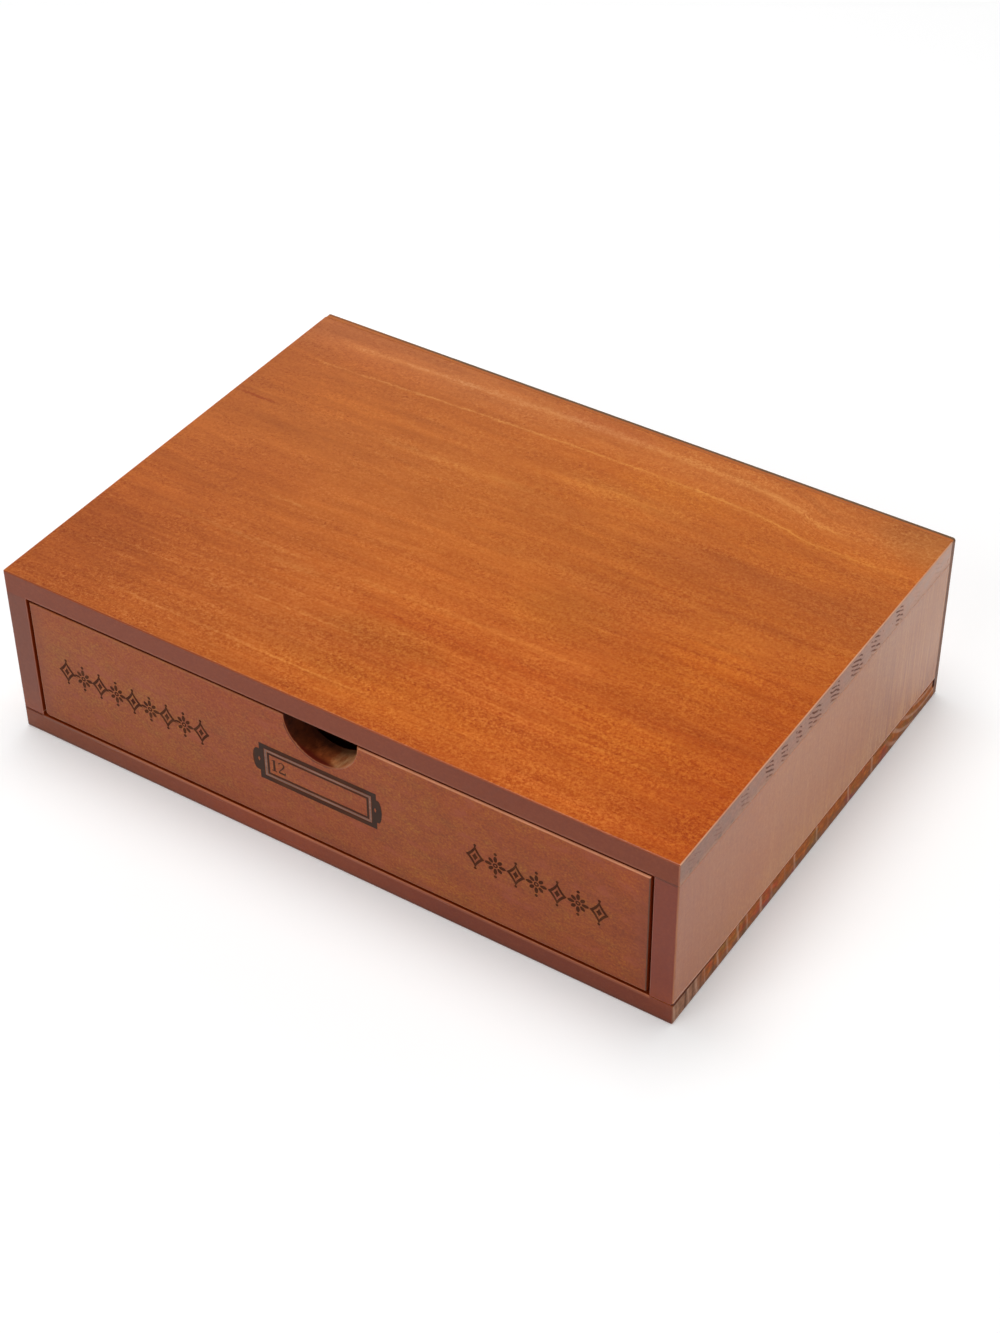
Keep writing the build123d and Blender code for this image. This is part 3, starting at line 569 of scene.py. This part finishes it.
    # painted highlight on the upper rounded edge of the right end, behind its dark front part
    stain = g.mix(g.clamp(seam * g.step(g.x, 121.4, 122.2) * g.step(g.y, -62.0, -44.0) * g.step(g.y, 87.0, 84.0) * (patchy + 0.85)), stain, (0.60, 0.29, 0.16))
    uneven = g.noise(g.vec(g.x, 0.0, 0.0), (2.2, 1, 1), 165) * 0.5
    left_seam = front * g.step(g.z + uneven, 7.35, 7.65) * g.step(g.x, -114.6, -115.2)
    stain = g.mix(left_seam * 0.9, stain, (0.080, 0.010, 0.003))
    stain = opening_stain_and_shade(g, stain, g.step(g.nz, 0.75, 0.93) * inside)
    # painted shade: the nick's walls are nearly black
    stain = g.mix(nick(g) * 0.95, stain, (0.060, 0.008, 0.002))
    g.shader.inputs["IOR"].default_value = 1.34
    roughness = 0.26 + g.noise(grain, (30, 3, 3), 170, detail=3.0) * 0.08 + end * 0.58 + nick(g) * 0.15 + left_seam * 0.5
    g.bump(g.noise(grain, (6.0, 0.7, 0.7), 175, detail=3.0, rough=0.65), 0.30, 0.10)
    return g.finish(stain, roughness)


def side_board_material(name, seed):
    """The side boards, whose grain stands upright."""
    g = Graph(name)
    grain = g.vec(g.z, g.y, g.x)
    gain = 1.0 + g.step(g.y, 10.0, 70.0) * 0.5
    tone = long_grain(g, grain, seed, broad=0.30, streaks=0.12, fine=0.44, speckle=0.60, gain=gain)
    streaks = None
    for place, half, start, strength in [(5.6, 0.9, 42, -0.14), (18.0, 0.8, 46, -0.16), (30.0, 1.0, 40, -0.10), (39.0, 1.0, 34, -0.14),
                                         (49.0, 0.9, 48, -0.16), (55.5, 0.7, 44, 0.10), (63.0, 0.8, 40, -0.16), (67.5, 0.6, 36, 0.12),
                                         (72.0, 0.7, 40, -0.18), (75.5, 0.6, 44, 0.12), (79.0, 0.7, 34, -0.14), (82.0, 0.6, 40, 0.10),
                                         (-8.0, 1.2, 40, 0.08), (-30.0, 1.4, 36, 0.08), (-60.0, 1.6, 44, -0.06)]:
        streak = g.line(g.y - place + g.noise(g.vec(0.0, 0.0, g.z), (1, 1, 18), seed + place) * 2.0, half) * (g.span(g.z, 4.0, start, 8.0) * strength * 1.25)
        streaks = streak if streaks is None else streaks + streak
    hairs = g.noise(g.vec(g.z, g.y, 0.0), (26, 0.95, 1), seed + 9, detail=2.0, rough=0.6) * (g.step(g.y, 18.0, 66.0) * (g.step(g.z, 52.0, 24.0) * 0.6 + 0.45) + 0.15)
    tone = tone + streaks + hairs * 1.9
    stain = g.ramp(tone, [(0.1, (0.27, 0.060, 0.008)), (0.5, (0.365, 0.100, 0.014)), (0.9, (0.46, 0.155, 0.03))])
    # painted reflection: the board is paler and bluer towards the rear and the lower part, and warmer and darker at the
    # front
    stain = g.mix(g.step(g.y, 20.0, 86.0) * g.step(g.z, 2.0, 30.0) * 0.55, stain, (0.50, 0.23, 0.11))
    stain = wash(g, stain, g.span(g.y, -72.0, 50.0, 34.0), (1.09, 1.06, 1.0))
    stain = wash(g, stain, g.step(g.z, 24.0, 12.0) * g.span(g.y, -66.0, 84.0, 24.0), (1.10, 1.22, 1.45))
    stain = wash(g, stain, g.step(g.y, -52.0, -80.0), (0.95, 0.84, 0.72))
    stain = wash(g, stain, g.span(g.y, -46.0, 66.0, 30.0), (1.02, 1.13, 1.35))
    stain = wash(g, stain, g.span(g.y, 20.0, 78.0, 18.0) * g.step(g.z, 42.0, 54.0), (1.02, 1.10, 1.3))
    front = g.facing(-g.ny)
    stain = g.mix(front, stain, edge_colours(g, front, grain, seed + 5))
    stain = wash(g, stain, front, (0.92, 1.0, 1.0))
    stain = wash(g, stain, front * g.step(g.x, 0.0, 1.0), (1.02, 0.68, 0.30))
    stain = wash(g, stain, front * g.step(g.x, 0.0, 1.0) * g.step(g.z, 18.0, 9.0), (1.16, 1.30, 1.3))
    stain = wash(g, stain, front * g.step(g.x, 0.0, -1.0) * g.step(g.z, 15.0, 22.0), (0.90, 0.88, 1.0))
    stain = wash(g, stain, front * g.step(g.x, 0.0, -1.0) * g.step(g.z, 15.0, 10.0), (1.16, 1.10, 1.0))
    stain = g.mix(front * g.step(g.z, 56.1, 56.35) * g.step(g.x, 114.4, 115.0) * 0.5, stain, (0.060, 0.012, 0.006))
    arris = g.arris()
    patchy = g.noise(grain, (14, 14, 14), seed + 60)
    below, above, ahead = g.step(g.nz, -0.25, -0.45), g.step(g.nz, 0.25, 0.45), g.step(g.ny, -0.25, -0.45)
    inside = g.step(g.abs(g.x), 115.6, 115.2)
    # painted highlights on the rounded edges: the right board's front corner, the opening's edges and the lower edge;
    # the left board's front corner is darker
    stain = g.mix(g.clamp(arris * ahead * (1.0 - below) * (1.0 - above) * (1.0 - inside) * (patchy * 0.9 + 0.40) * g.step(g.x, 0.0, 1.0)), stain, (0.50, 0.21, 0.10))
    stain = g.mix(g.clamp(arris * ahead * (1.0 - below) * (1.0 - above) * (1.0 - inside) * g.step(g.x, 0.0, -1.0) * 0.8), stain, (0.135, 0.070, 0.055))
    stain = g.mix(g.clamp(arris * ahead * inside * (patchy + 0.75)), stain, (0.33, 0.115, 0.075))
    stain = g.mix(g.clamp(arris * below * (1.0 - ahead) * (patchy + 0.85)), stain, (0.66, 0.32, 0.17))
    stain = opening_stain_and_shade(g, stain, g.step(g.abs(g.nx), 0.75, 0.93) * inside)
    # the seam under it is open and dark at the front
    shut = g.step(g.z + g.step(g.y, -88.0, -60.0) * 0.75, 9.05, 8.80) * g.step(g.y, -58.0, -70.0) * g.step(g.abs(g.x), 121.6, 122.2)
    stain = g.mix(shut * 0.95, stain, (0.070, 0.008, 0.002))
    # painted highlight: a pale band just above the lower seam
    lit_band = g.facing(g.nx) * g.span(g.z + g.step(g.y, -88.0, -62.0) * 0.85, 9.10, 9.85, 0.25) * (patchy * 1.2 + 0.60)
    stain = g.mix(g.clamp(lit_band) * g.step(g.y, 87.0, 84.0), stain, (0.60, 0.29, 0.17))
    left_seam = front * g.step(g.z + patchy * 0.5, 8.55, 8.30) * g.step(g.x, -114.6, -115.2)
    stain = g.mix(left_seam * 0.85, stain, (0.080, 0.010, 0.003))
    # painted shade: the nick's walls are nearly black
    stain = g.mix(nick(g) * 0.95, stain, (0.060, 0.008, 0.002))
    g.shader.inputs["IOR"].default_value = 1.40
    roughness = 0.24 + g.noise(grain, (30, 3, 3), seed + 70, detail=3.0) * 0.06 + shut * 0.7 + left_seam * 0.5
    g.bump(g.noise(grain, (8.0, 0.9, 0.9), seed + 75, detail=3.0, rough=0.6), 0.22, 0.10)
    return g.finish(stain, roughness)


def back_panel_material():
    g = Graph("back_panel_board")
    grain = g.vec(g.x, g.z, g.y)
    tone = long_grain(g, grain, 303, broad=0.7, streaks=0.7) - pores(g, grain, 331) * 0.2
    rings = g.math("SINE", (g.z + g.noise(grain, (150, 24, 24), 312, detail=2.0) * 60.0) * (2 * math.pi / 8.5))
    tone = tone + g.step(rings, 0.1, 1.0) * -0.14
    stain = g.ramp(tone, [(0.0, (0.22, 0.065, 0.018)), (0.5, (0.33, 0.11, 0.032)), (1.0, (0.45, 0.19, 0.07))])
    edge = g.step(g.abs(g.nx), 0.5, 0.8)
    stain = g.mix(edge * 0.8, stain, (0.16, 0.070, 0.038))
    # its upper edge was stained together with the top
    upper = g.step(g.nz, 0.5, 0.8)
    upper_tone = long_grain(g, g.vec(g.x, g.y, g.z), 350, broad=0.3, streaks=0.3)
    upper_stain = g.ramp(upper_tone, [(0.1, TOP_DARK), (0.5, (0.41, 0.105, 0.012)), (1.0, TOP_LIGHT)])
    stain = g.mix(upper, stain, upper_stain)
    # its rear edge is darker
    dark_rear_rim = g.step(g.y + g.noise(grain, (9, 9, 9), 355, detail=2.0) * 0.5, 86.15, 86.50) * g.step(g.nz, 0.05, 0.25)
    stain = g.mix(dark_rear_rim * (g.step(g.x, -122.0, -60.0) * 0.45 + 0.50), stain, (0.120, 0.062, 0.026))
    # painted shade: the nick's walls are nearly black
    stain = g.mix(nick(g) * g.step(g.ny, -0.4, -0.6) * 0.95, stain, (0.060, 0.008, 0.002))
    roughness = 0.58 - upper * (1.0 - dark_rear_rim) * 0.30 + dark_rear_rim * 0.30 + g.noise(grain, (20, 3, 3), 370, detail=3.0) * 0.12
    g.bump(g.noise(grain, (9.0, 0.8, 0.8), 375, detail=3.0, rough=0.65), 0.35, 0.12)
    return g.finish(stain, roughness)


# ======================= drawer =========================================
def drawer_front_material():
    g = Graph("drawer_front_wood")
    grain = g.vec(g.x, g.z, g.y)
    tone = long_grain(g, grain, 403, broad=0.36, streaks=0.0, fine=0.24, speckle=1.35)
    # clouds of lighter, more golden stain
    cloud = g.noise(g.vec(g.x, g.z, 0.0), (15, 8, 1), 410, detail=3.0, rough=0.65, distort=0.8)
    calm = 0.60 + g.step(g.x, -40.0, 20.0) * 0.40
    tone = tone + (cloud * 0.55 + g.noise(grain, (48, 5.0, 5.0), 404, detail=2.0) * 0.22) * calm
    tone = tone + g.noise(grain, (1.5, 1.25, 1.25), 412, detail=1.0) * 0.42 - pores(g, grain, 431) * 0.12
    tone = tone - g.step(g.x, 60.0, 110.0) * 0.06 + g.step(g.x, -10.0, -100.0) * 0.03
    stain = g.ramp(tone, [(0.1, (0.197, 0.028, 0.001)), (0.5, (0.282, 0.055, 0.0023)), (0.9, (0.385, 0.112, 0.0075))])
    stain = wash(g, stain, g.step(g.z, 40.0, 50.0), (1.06, 1.02, 1.0))
    stain = wash(g, stain, g.step(g.x, 96.0, 110.0) * g.step(g.z, 42.0, 48.0), (1.12, 1.06, 1.0))
    stain = wash(g, stain, g.step(g.x, 94.0, 106.0) * g.span(g.z, 18.0, 33.0, 6.0), (0.90, 0.84, 1.0))
    stain = wash(g, stain, g.step(g.z, 20.0, 12.0) * g.step(g.x, 40.0, -10.0), (0.92, 0.88, 1.0))
    stain = wash(g, stain, g.step(g.z, 30.0, 50.0) * g.step(g.x, 10.0, -40.0), (0.97, 0.90, 1.0))
    stain = wash(g, stain, g.span(g.x, -62.0, 34.0, 24.0), (0.98, 0.88, 1.0))
    stain = wash(g, stain, g.step(g.x, 20.0, 50.0), (1.0, 0.95, 0.35))
    blotch = g.noise(g.vec(g.x, g.z, 0.0), (8, 5, 1), 415, detail=2.0, rough=0.6)
    stain = wash(g, stain, g.step(blotch, 0.0, 0.2), (0.96, 1.12, 1.2))
    stain = g.mix(g.step(blotch, -0.02, -0.22) * 0.5, stain, (0.315, 0.060, 0.022))
    rim = g.high(g.step(g.abs(g.x), 106.0, 113.3), g.step(g.z, 14.0, 9.2) * 0.6)
    stain = g.mix(rim * 0.45, stain, (0.190, 0.036, 0.011))
    # its four edges are painted dark red, partly stain and partly painted shade of the gaps round it; the rounded edges
    # carry painted highlights, except at the right end, where they are darker
    edges = g.step(g.abs(g.ny), 0.45, 0.20)
    edge_red_and_shade = g.mix(g.step(g.y, -83.0, -86.0) * g.step(g.abs(g.nx), 0.6, 0.8), (0.130, 0.012, 0.001), (0.36, 0.048, 0.008))
    stain = g.mix(edges * (g.step(g.y, -83.0, -85.4) * 0.72 + 0.18), stain, edge_red_and_shade)
    arris = g.arris()
    wear_and_highlight = arris * g.step(g.x, 113.0, 112.6) * (g.noise(grain, (18, 8, 8), 460) * 1.2 + 0.40)
    stain = g.mix(g.clamp(wear_and_highlight), stain, (0.50, 0.21, 0.09))
    stain = g.mix(arris * g.step(g.x, 112.6, 113.0) * 0.8, stain, (0.115, 0.057, 0.034))
    # painted highlight along the upper edge, strongest at the right
    along = 0.10 + g.step(g.x, -5.0, 25.0) * 0.90
    upper = g.step(g.z, 54.7, 55.35) * g.step(g.ny, -0.2, -0.4) * (g.noise(grain, (12, 5, 5), 465, detail=3.0) * 1.4 + 0.90)
    stain = g.mix(g.clamp(upper) * along, stain, (0.68, 0.27, 0.13))
    inside = g.facing(g.ny)
    stain = g.mix(inside * 0.5, stain, (0.36, 0.17, 0.07))
    # the cut of the finger notch: a dark stain, with painted light and shade, darker at its left and lighter at its
    # lower right
    dx, dz = g.x + 0.5, g.z - 55.75
    reach = g.math("SQRT", dx * dx + dz * dz)
    cut = g.step(reach, 14.1, 13.75) * g.step(g.abs(g.ny), 0.75, 0.35)
    cut_tone_and_light = g.noise(g.vec(g.x, g.y, g.z), (2.2, 4.0, 2.2), 480, detail=3.0, rough=0.65) * 0.70 + g.step(g.x, -12.0, 6.5) * 0.60 + g.step(g.z, 54.0, 44.5) * 0.22
    cut_stain_and_light = g.ramp(cut_tone_and_light, [(0.0, (0.046, 0.007, 0.001)), (0.35, (0.160, 0.032, 0.005)), (0.65, (0.52, 0.140, 0.038)), (0.95, (0.88, 0.46, 0.20))])
    # painted shade: its rear part is darkened for the shade of the top board; its front part is lighter
    cut_stain_and_light = wash(g, cut_stain_and_light, g.step(g.y, -82.6, -78.9) * (g.step(g.x, -9.0, -4.0) * 0.5 + 0.5), (0.22, 0.18, 0.15))
    cut_stain_and_light = wash(g, cut_stain_and_light, g.step(g.y, -82.2, -85.0) * g.span(g.x, -9.0, 6.0, 4.0), (1.35, 1.22, 1.1))
    lowest = g.step(g.abs(g.x + 3.0), 9.0, 2.0)
    cut_stain_and_light = g.mix(g.step(g.y + lowest * -1.9, -86.0, -88.2) * g.step(g.x, 10.0, 4.0) * 0.95, cut_stain_and_light, (0.150, 0.008, 0.001))
    stain = g.mix(cut, stain, cut_stain_and_light)
    run = g.step(reach + g.noise(g.vec(g.x, 0.0, g.z), (2.5, 1, 2.5), 485) * 0.7, 14.35, 13.85) * g.step(g.x, 6.0, 1.0) * g.step(g.z, 55.0, 51.0)
    stain = g.mix(run * g.facing(-g.ny) * 0.85, stain, (0.120, 0.016, 0.003))
    g.shader.inputs["IOR"].default_value = 1.32
    roughness = 0.30 + g.noise(grain, (24, 4, 4), 470, detail=3.0) * 0.08 + cut * 0.55
    g.bump(g.noise(grain, (2.6, 1.0, 1.0), 475, detail=3.0, rough=0.65) + cloud * 0.8, 0.20, 0.10)
    return g.finish(stain, roughness)


def grain_across(g, order):
    """The coordinate across a board's grain on its broad face."""
    return {"x": g.x, "y": g.y, "z": g.z}[order[1]]


def inner_wood_material(name, seed, order):
    """Plain matt wood of the drawer's sides and back; order lists the coordinates, along the grain first."""
    g = Graph(name)
    grain = g.vec(*[{"x": g.x, "y": g.y, "z": g.z}[c] for c in order])
    tone = long_grain(g, grain, seed, broad=0.7, streaks=0.8, fine=0.4) - pores(g, grain, seed + 31) * 0.22
    rings = g.math("SINE", (grain_across(g, order) + g.noise(grain, (120, 26, 26), seed + 12, detail=2.0) * 46.0) * (2 * math.pi / 7.5))
    tone = tone + g.step(rings, 0.1, 1.0) * g.step(rings, 1.02, 0.6) * -0.16
    stain = g.ramp(tone, [(0.0, (0.24, 0.088, 0.028)), (0.5, (0.38, 0.17, 0.065)), (1.0, (0.52, 0.29, 0.13))])
    wear_and_highlight = g.arris() * 0.35
    stain = g.mix(wear_and_highlight, stain, (0.52, 0.30, 0.15))
    roughness = 0.62 + g.noise(grain, (20, 3, 3), seed + 70, detail=3.0) * 0.12
    g.bump(g.noise(grain, (8.0, 0.7, 0.7), seed + 75, detail=3.0, rough=0.65), 0.35, 0.12)
    return g.finish(stain, roughness)


def steel_material():
    g = Graph("steel_pins_bright")
    vector = g.vec(g.x, g.y, g.z)
    spots = g.noise(vector, (0.9, 0.9, 0.9), 600, detail=3.0, rough=0.65)
    colour = g.ramp(spots + 0.5, [(0.3, (0.32, 0.27, 0.22)), (0.5, (0.55, 0.53, 0.50)), (0.75, (0.68, 0.67, 0.65))])
    g.shader.inputs["Metallic"].default_value = 1.0
    g.bump(g.noise(vector, (0.3, 0.3, 0.3), 603, detail=2.0), 0.2, 0.02)
    return g.finish(colour, 0.36 + spots * 0.3)


def ink_material():
    """Dark printing ink that thins over the wood's pores."""
    g = Graph("printed_ink_dark")
    grain = g.vec(g.x, g.z, g.y)
    thin = g.step(g.noise(grain, (3.0, 0.5, 0.5), 701, detail=3.0, rough=0.7), 0.06, 0.30)
    tone = g.noise(grain, (9, 3, 3), 702, detail=2.0)
    ink = g.ramp(tone + 0.5, [(0.3, (0.050, 0.011, 0.003)), (0.5, (0.066, 0.018, 0.006)), (0.7, (0.090, 0.028, 0.010))])
    ink = g.mix(thin * 0.42, ink, (0.18, 0.050, 0.010))
    # the label's ink is greyer than the ornaments'
    label = g.span(g.x, -27.0, 22.0, 1.0)
    ink = g.mix(label * (0.30 + g.step(g.abs(g.x + 2.6), 16.0, 20.0) * 0.45), ink, (0.046, 0.031, 0.025))
    g.shader.inputs["IOR"].default_value = 1.13
    g.bump(g.noise(grain, (2.0, 0.7, 0.7), 703, detail=2.0), 0.25, 0.05)
    return g.finish(ink, 0.5 + tone * 0.15)


def pale_ink_material():
    """The thin pale line between the label's two dark frames."""
    g = Graph("printed_ink_pale")
    grain = g.vec(g.x, g.z, g.y)
    tone = g.noise(grain, (6, 0.9, 0.9), 711, detail=3.0)
    ink = g.ramp(tone + 0.5, [(0.3, (0.13, 0.058, 0.032)), (0.5, (0.18, 0.088, 0.058)), (0.7, (0.24, 0.125, 0.085))])
    g.bump(g.noise(grain, (2.0, 0.7, 0.7), 713, detail=2.0), 0.25, 0.05)
    return g.finish(ink, 0.42 + tone * 0.15)


finishes = {
    "top_board": top_board_material(),
    "bottom_board": bottom_board_material(),
    "left_side_board": side_board_material("left_side_board_wood", 203),
    "right_side_board": side_board_material("right_side_board_wood", 243),
    "back_panel": back_panel_material(),
    "drawer_front": drawer_front_material(),
    "drawer_left_side": inner_wood_material("drawer_left_side_wood", 503, "yzx"),
    "drawer_right_side": inner_wood_material("drawer_right_side_wood", 523, "yzx"),
    "drawer_back": inner_wood_material("drawer_back_wood", 543, "xzy"),
    "drawer_bottom_panel": inner_wood_material("drawer_bottom_panel_board", 563, "xyz"),
}
steel = steel_material()
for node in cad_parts:
    piece = bpy.data.objects[node]
    material = finishes.get(node, steel)
    for slot in piece.material_slots:
        slot.material = material


# ======================= print on the drawer front ======================
INK = ink_material()
PALE_INK = pale_ink_material()
FACE_Y = -87.4          # face of the drawer front
INK_T = 0.03            # thickness of the print
INK_SUNK = 0.01


def printed(name, outlines, ink=None):
    """A thin print from closed outlines in the drawer front's plane (x, z in millimetres); an outline inside another is a hole."""
    curve = bpy.data.curves.new(name + "_outline", "CURVE")
    curve.dimensions = "2D"
    curve.fill_mode = "BOTH"
    curve.extrude = (INK_T + INK_SUNK) / 2
    for outline in outlines:
        spline = curve.splines.new("POLY")
        spline.points.add(len(outline) - 1)
        for point, (x, z) in zip(spline.points, outline):
            point.co = (x, z, 0, 1)
        spline.use_cyclic_u = True
    holder = bpy.data.objects.new(name + "_outline", curve)
    mesh = bpy.data.meshes.new_from_object(holder)
    bpy.data.objects.remove(holder)
    bpy.data.curves.remove(curve)
    bm = bmesh.new()
    bm.from_mesh(mesh)
    bmesh.ops.remove_doubles(bm, verts=bm.verts, dist=0.0005)
    for v in bm.verts:
        x, z, t = v.co
        v.co = Vector((x, FACE_Y + INK_SUNK / 2 - INK_T / 2 - t, z)) / 1000
    bmesh.ops.recalc_face_normals(bm, faces=bm.faces)
    bm.to_mesh(mesh)
    bm.free()
    mesh.name = name
    mesh.materials.clear()
    mesh.materials.append(ink or INK)
    piece = bpy.data.objects.new(name, mesh)
    scene.collection.objects.link(piece)
    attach(piece, "drawer")
    return piece


def rectangle(x0, z0, x1, z1):
    return [(x0, z0), (x1, z0), (x1, z1), (x0, z1)]


def oval(x, z, rx, rz, turn=0.0, steps=36):
    c, s = math.cos(turn), math.sin(turn)
    ring = []
    for i in range(steps):
        a = 2 * math.pi * i / steps
        u, v = rx * math.cos(a), rz * math.sin(a)
        ring.append((x + u * c - v * s, z + u * s + v * c))
    return ring


def lozenge(x, z, half_w, half_h, hollow=0.86, steps=7):
    """A lozenge with slightly hollow sides."""
    ring = []
    for quarter in range(4):
        for i in range(steps):
            a = (quarter + i / steps) * math.pi / 2
            c, s = math.cos(a), math.sin(a)
            r = (abs(c) ** hollow + abs(s) ** hollow) ** (-1 / hollow)
            ring.append((x + half_w * r * c, z + half_h * r * s))
    return ring


def stroke(points, widths):
    """The outline of a pen stroke through the points, with its width at each."""
    left, right_side = [], []
    for i, (x, z) in enumerate(points):
        ax, az = points[max(i - 1, 0)]
        bx, bz = points[min(i + 1, len(points) - 1)]
        dx, dz = bx - ax, bz - az
        length = math.hypot(dx, dz)
        nx, nz = -dz / length, dx / length
        half = widths[i] / 2
        left.append((x + nx * half, z + nz * half))
        right_side.append((x - nx * half, z - nz * half))
    return left + right_side[::-1]


def lozenge_motif(x, z):
    """A tall lozenge with a small solid one inside, and a dot above and below."""
    return [lozenge(x, z, 3.25, 4.3), lozenge(x, z, 1.95, 2.8), lozenge(x, z, 1.05, 1.6),
            oval(x, z + 4.65, 0.5, 0.5, steps=16), oval(x, z - 4.65, 0.5, 0.5, steps=16)]


def rosette_motif(x, z):
    """Eight petals round a small ring, on a short stem above and below."""
    outlines = []
    for i in range(8):
        a = math.pi / 4 * i
        far = 2.45 if i % 2 == 0 else 2.2
        outlines.append(oval(x + far * math.cos(a), z + far * math.sin(a), 1.2 if i % 2 == 0 else 1.0, 0.64, a, steps=20))
    outlines += [oval(x, z, 0.88, 0.88, steps=24), oval(x, z, 0.36, 0.36, steps=16)]
    for side in (1, -1):
        outlines.append(stroke([(x, z + side * 4.0), (x, z + side * 4.55), (x, z + side * 5.1)], [0.5, 1.3, 0.4]))
    return outlines


def motif_row(x0, x1, z, count):
    """Lozenges and rosettes by turns, evenly spaced, a lozenge at both ends."""
    first, last = x0 + 3.25, x1 - 3.25
    outlines = []
    for i in range(count):
        x = first + (last - first) * i / (count - 1)
        outlines += (lozenge_motif if i % 2 == 0 else rosette_motif)(x, z)
    return outlines


printed("printed_ornament_left", motif_row(-104.2, -43.8, 32.75, 9))
printed("printed_ornament_right", motif_row(51.2, 100.3, 32.6, 7))


def ear(side_x, reach, z, half_h):
    """A rounded ear beside the label frame, stepped at its top and bottom."""
    points = []
    steps = 18
    for i in range(steps + 1):
        a = -math.pi / 2 + math.pi * i / steps
        points.append((side_x + reach * (0.30 + 0.70 * math.cos(a)), z + half_h * math.sin(a)))
    return [(side_x, z - half_h)] + points + [(side_x, z + half_h)]


LABEL_X0, LABEL_X1, LABEL_Z0, LABEL_Z1 = -24.4, 19.2, 25.4, 39.8
left_ear = [(x, z) for x, z in ear(LABEL_X0 + 0.02, -2.6, 32.8, 4.4)]
right_ear = ear(LABEL_X1 - 0.02, 1.9, 32.8, 4.6)


def with_ears():
    """The frame's outer outline, ears included, run round once."""
    low, high = LABEL_Z0, LABEL_Z1
    outline = [(LABEL_X0, low), (LABEL_X1, low)]
    outline += right_ear
    outline += [(LABEL_X1, high), (LABEL_X0, high)]
    outline += left_ear[::-1]
    return outline


printed("printed_label_frame", [
    with_ears(),
    rectangle(LABEL_X0 + 1.85, LABEL_Z0 + 1.75, LABEL_X1 - 1.85, LABEL_Z1 - 1.75),
    lozenge(LABEL_X0 - 0.2, 33.0, 0.40, 0.95, hollow=1.2), lozenge(LABEL_X1 - 0.5, 33.1, 0.40, 0.95, hollow=1.2),
])
printed("printed_label_line", [
    rectangle(-21.45, 28.2, 16.4, 37.05),
    rectangle(-20.65, 29.0, 15.6, 36.25),
])
printed("printed_label_gleam", [
    rectangle(LABEL_X0 + 2.05, LABEL_Z0 + 1.95, LABEL_X1 - 2.05, LABEL_Z1 - 1.95),
    rectangle(-21.65, 28.0, 16.6, 37.25),
], PALE_INK)

# the plain number twelve at the left end of the label window
ONE = [(-19.9, 30.35), (-17.95, 30.35), (-17.95, 30.62), (-18.5, 30.75), (-18.5, 34.95), (-18.78, 34.95), (-19.85, 34.45),
       (-19.78, 34.22), (-19.3, 34.36), (-19.3, 30.75), (-19.9, 30.62)]
TWO_LINE = [(-17.15, 34.05), (-16.98, 34.5), (-16.55, 34.82), (-16.0, 34.85), (-15.5, 34.6), (-15.25, 34.1),
            (-15.33, 33.5), (-15.75, 32.8), (-16.3, 32.1), (-16.85, 31.4), (-17.15, 30.85)]
TWO_WIDTH = [0.5, 0.36, 0.28, 0.3, 0.46, 0.62, 0.58, 0.46, 0.36, 0.3, 0.26]
TWO_FOOT = [(-17.32, 30.35), (-14.75, 30.35), (-14.6, 31.45), (-14.85, 31.45), (-15.05, 31.0), (-17.0, 31.0), (-17.32, 30.85)]
printed("printed_number", [ONE, stroke(TWO_LINE, TWO_WIDTH), TWO_FOOT])
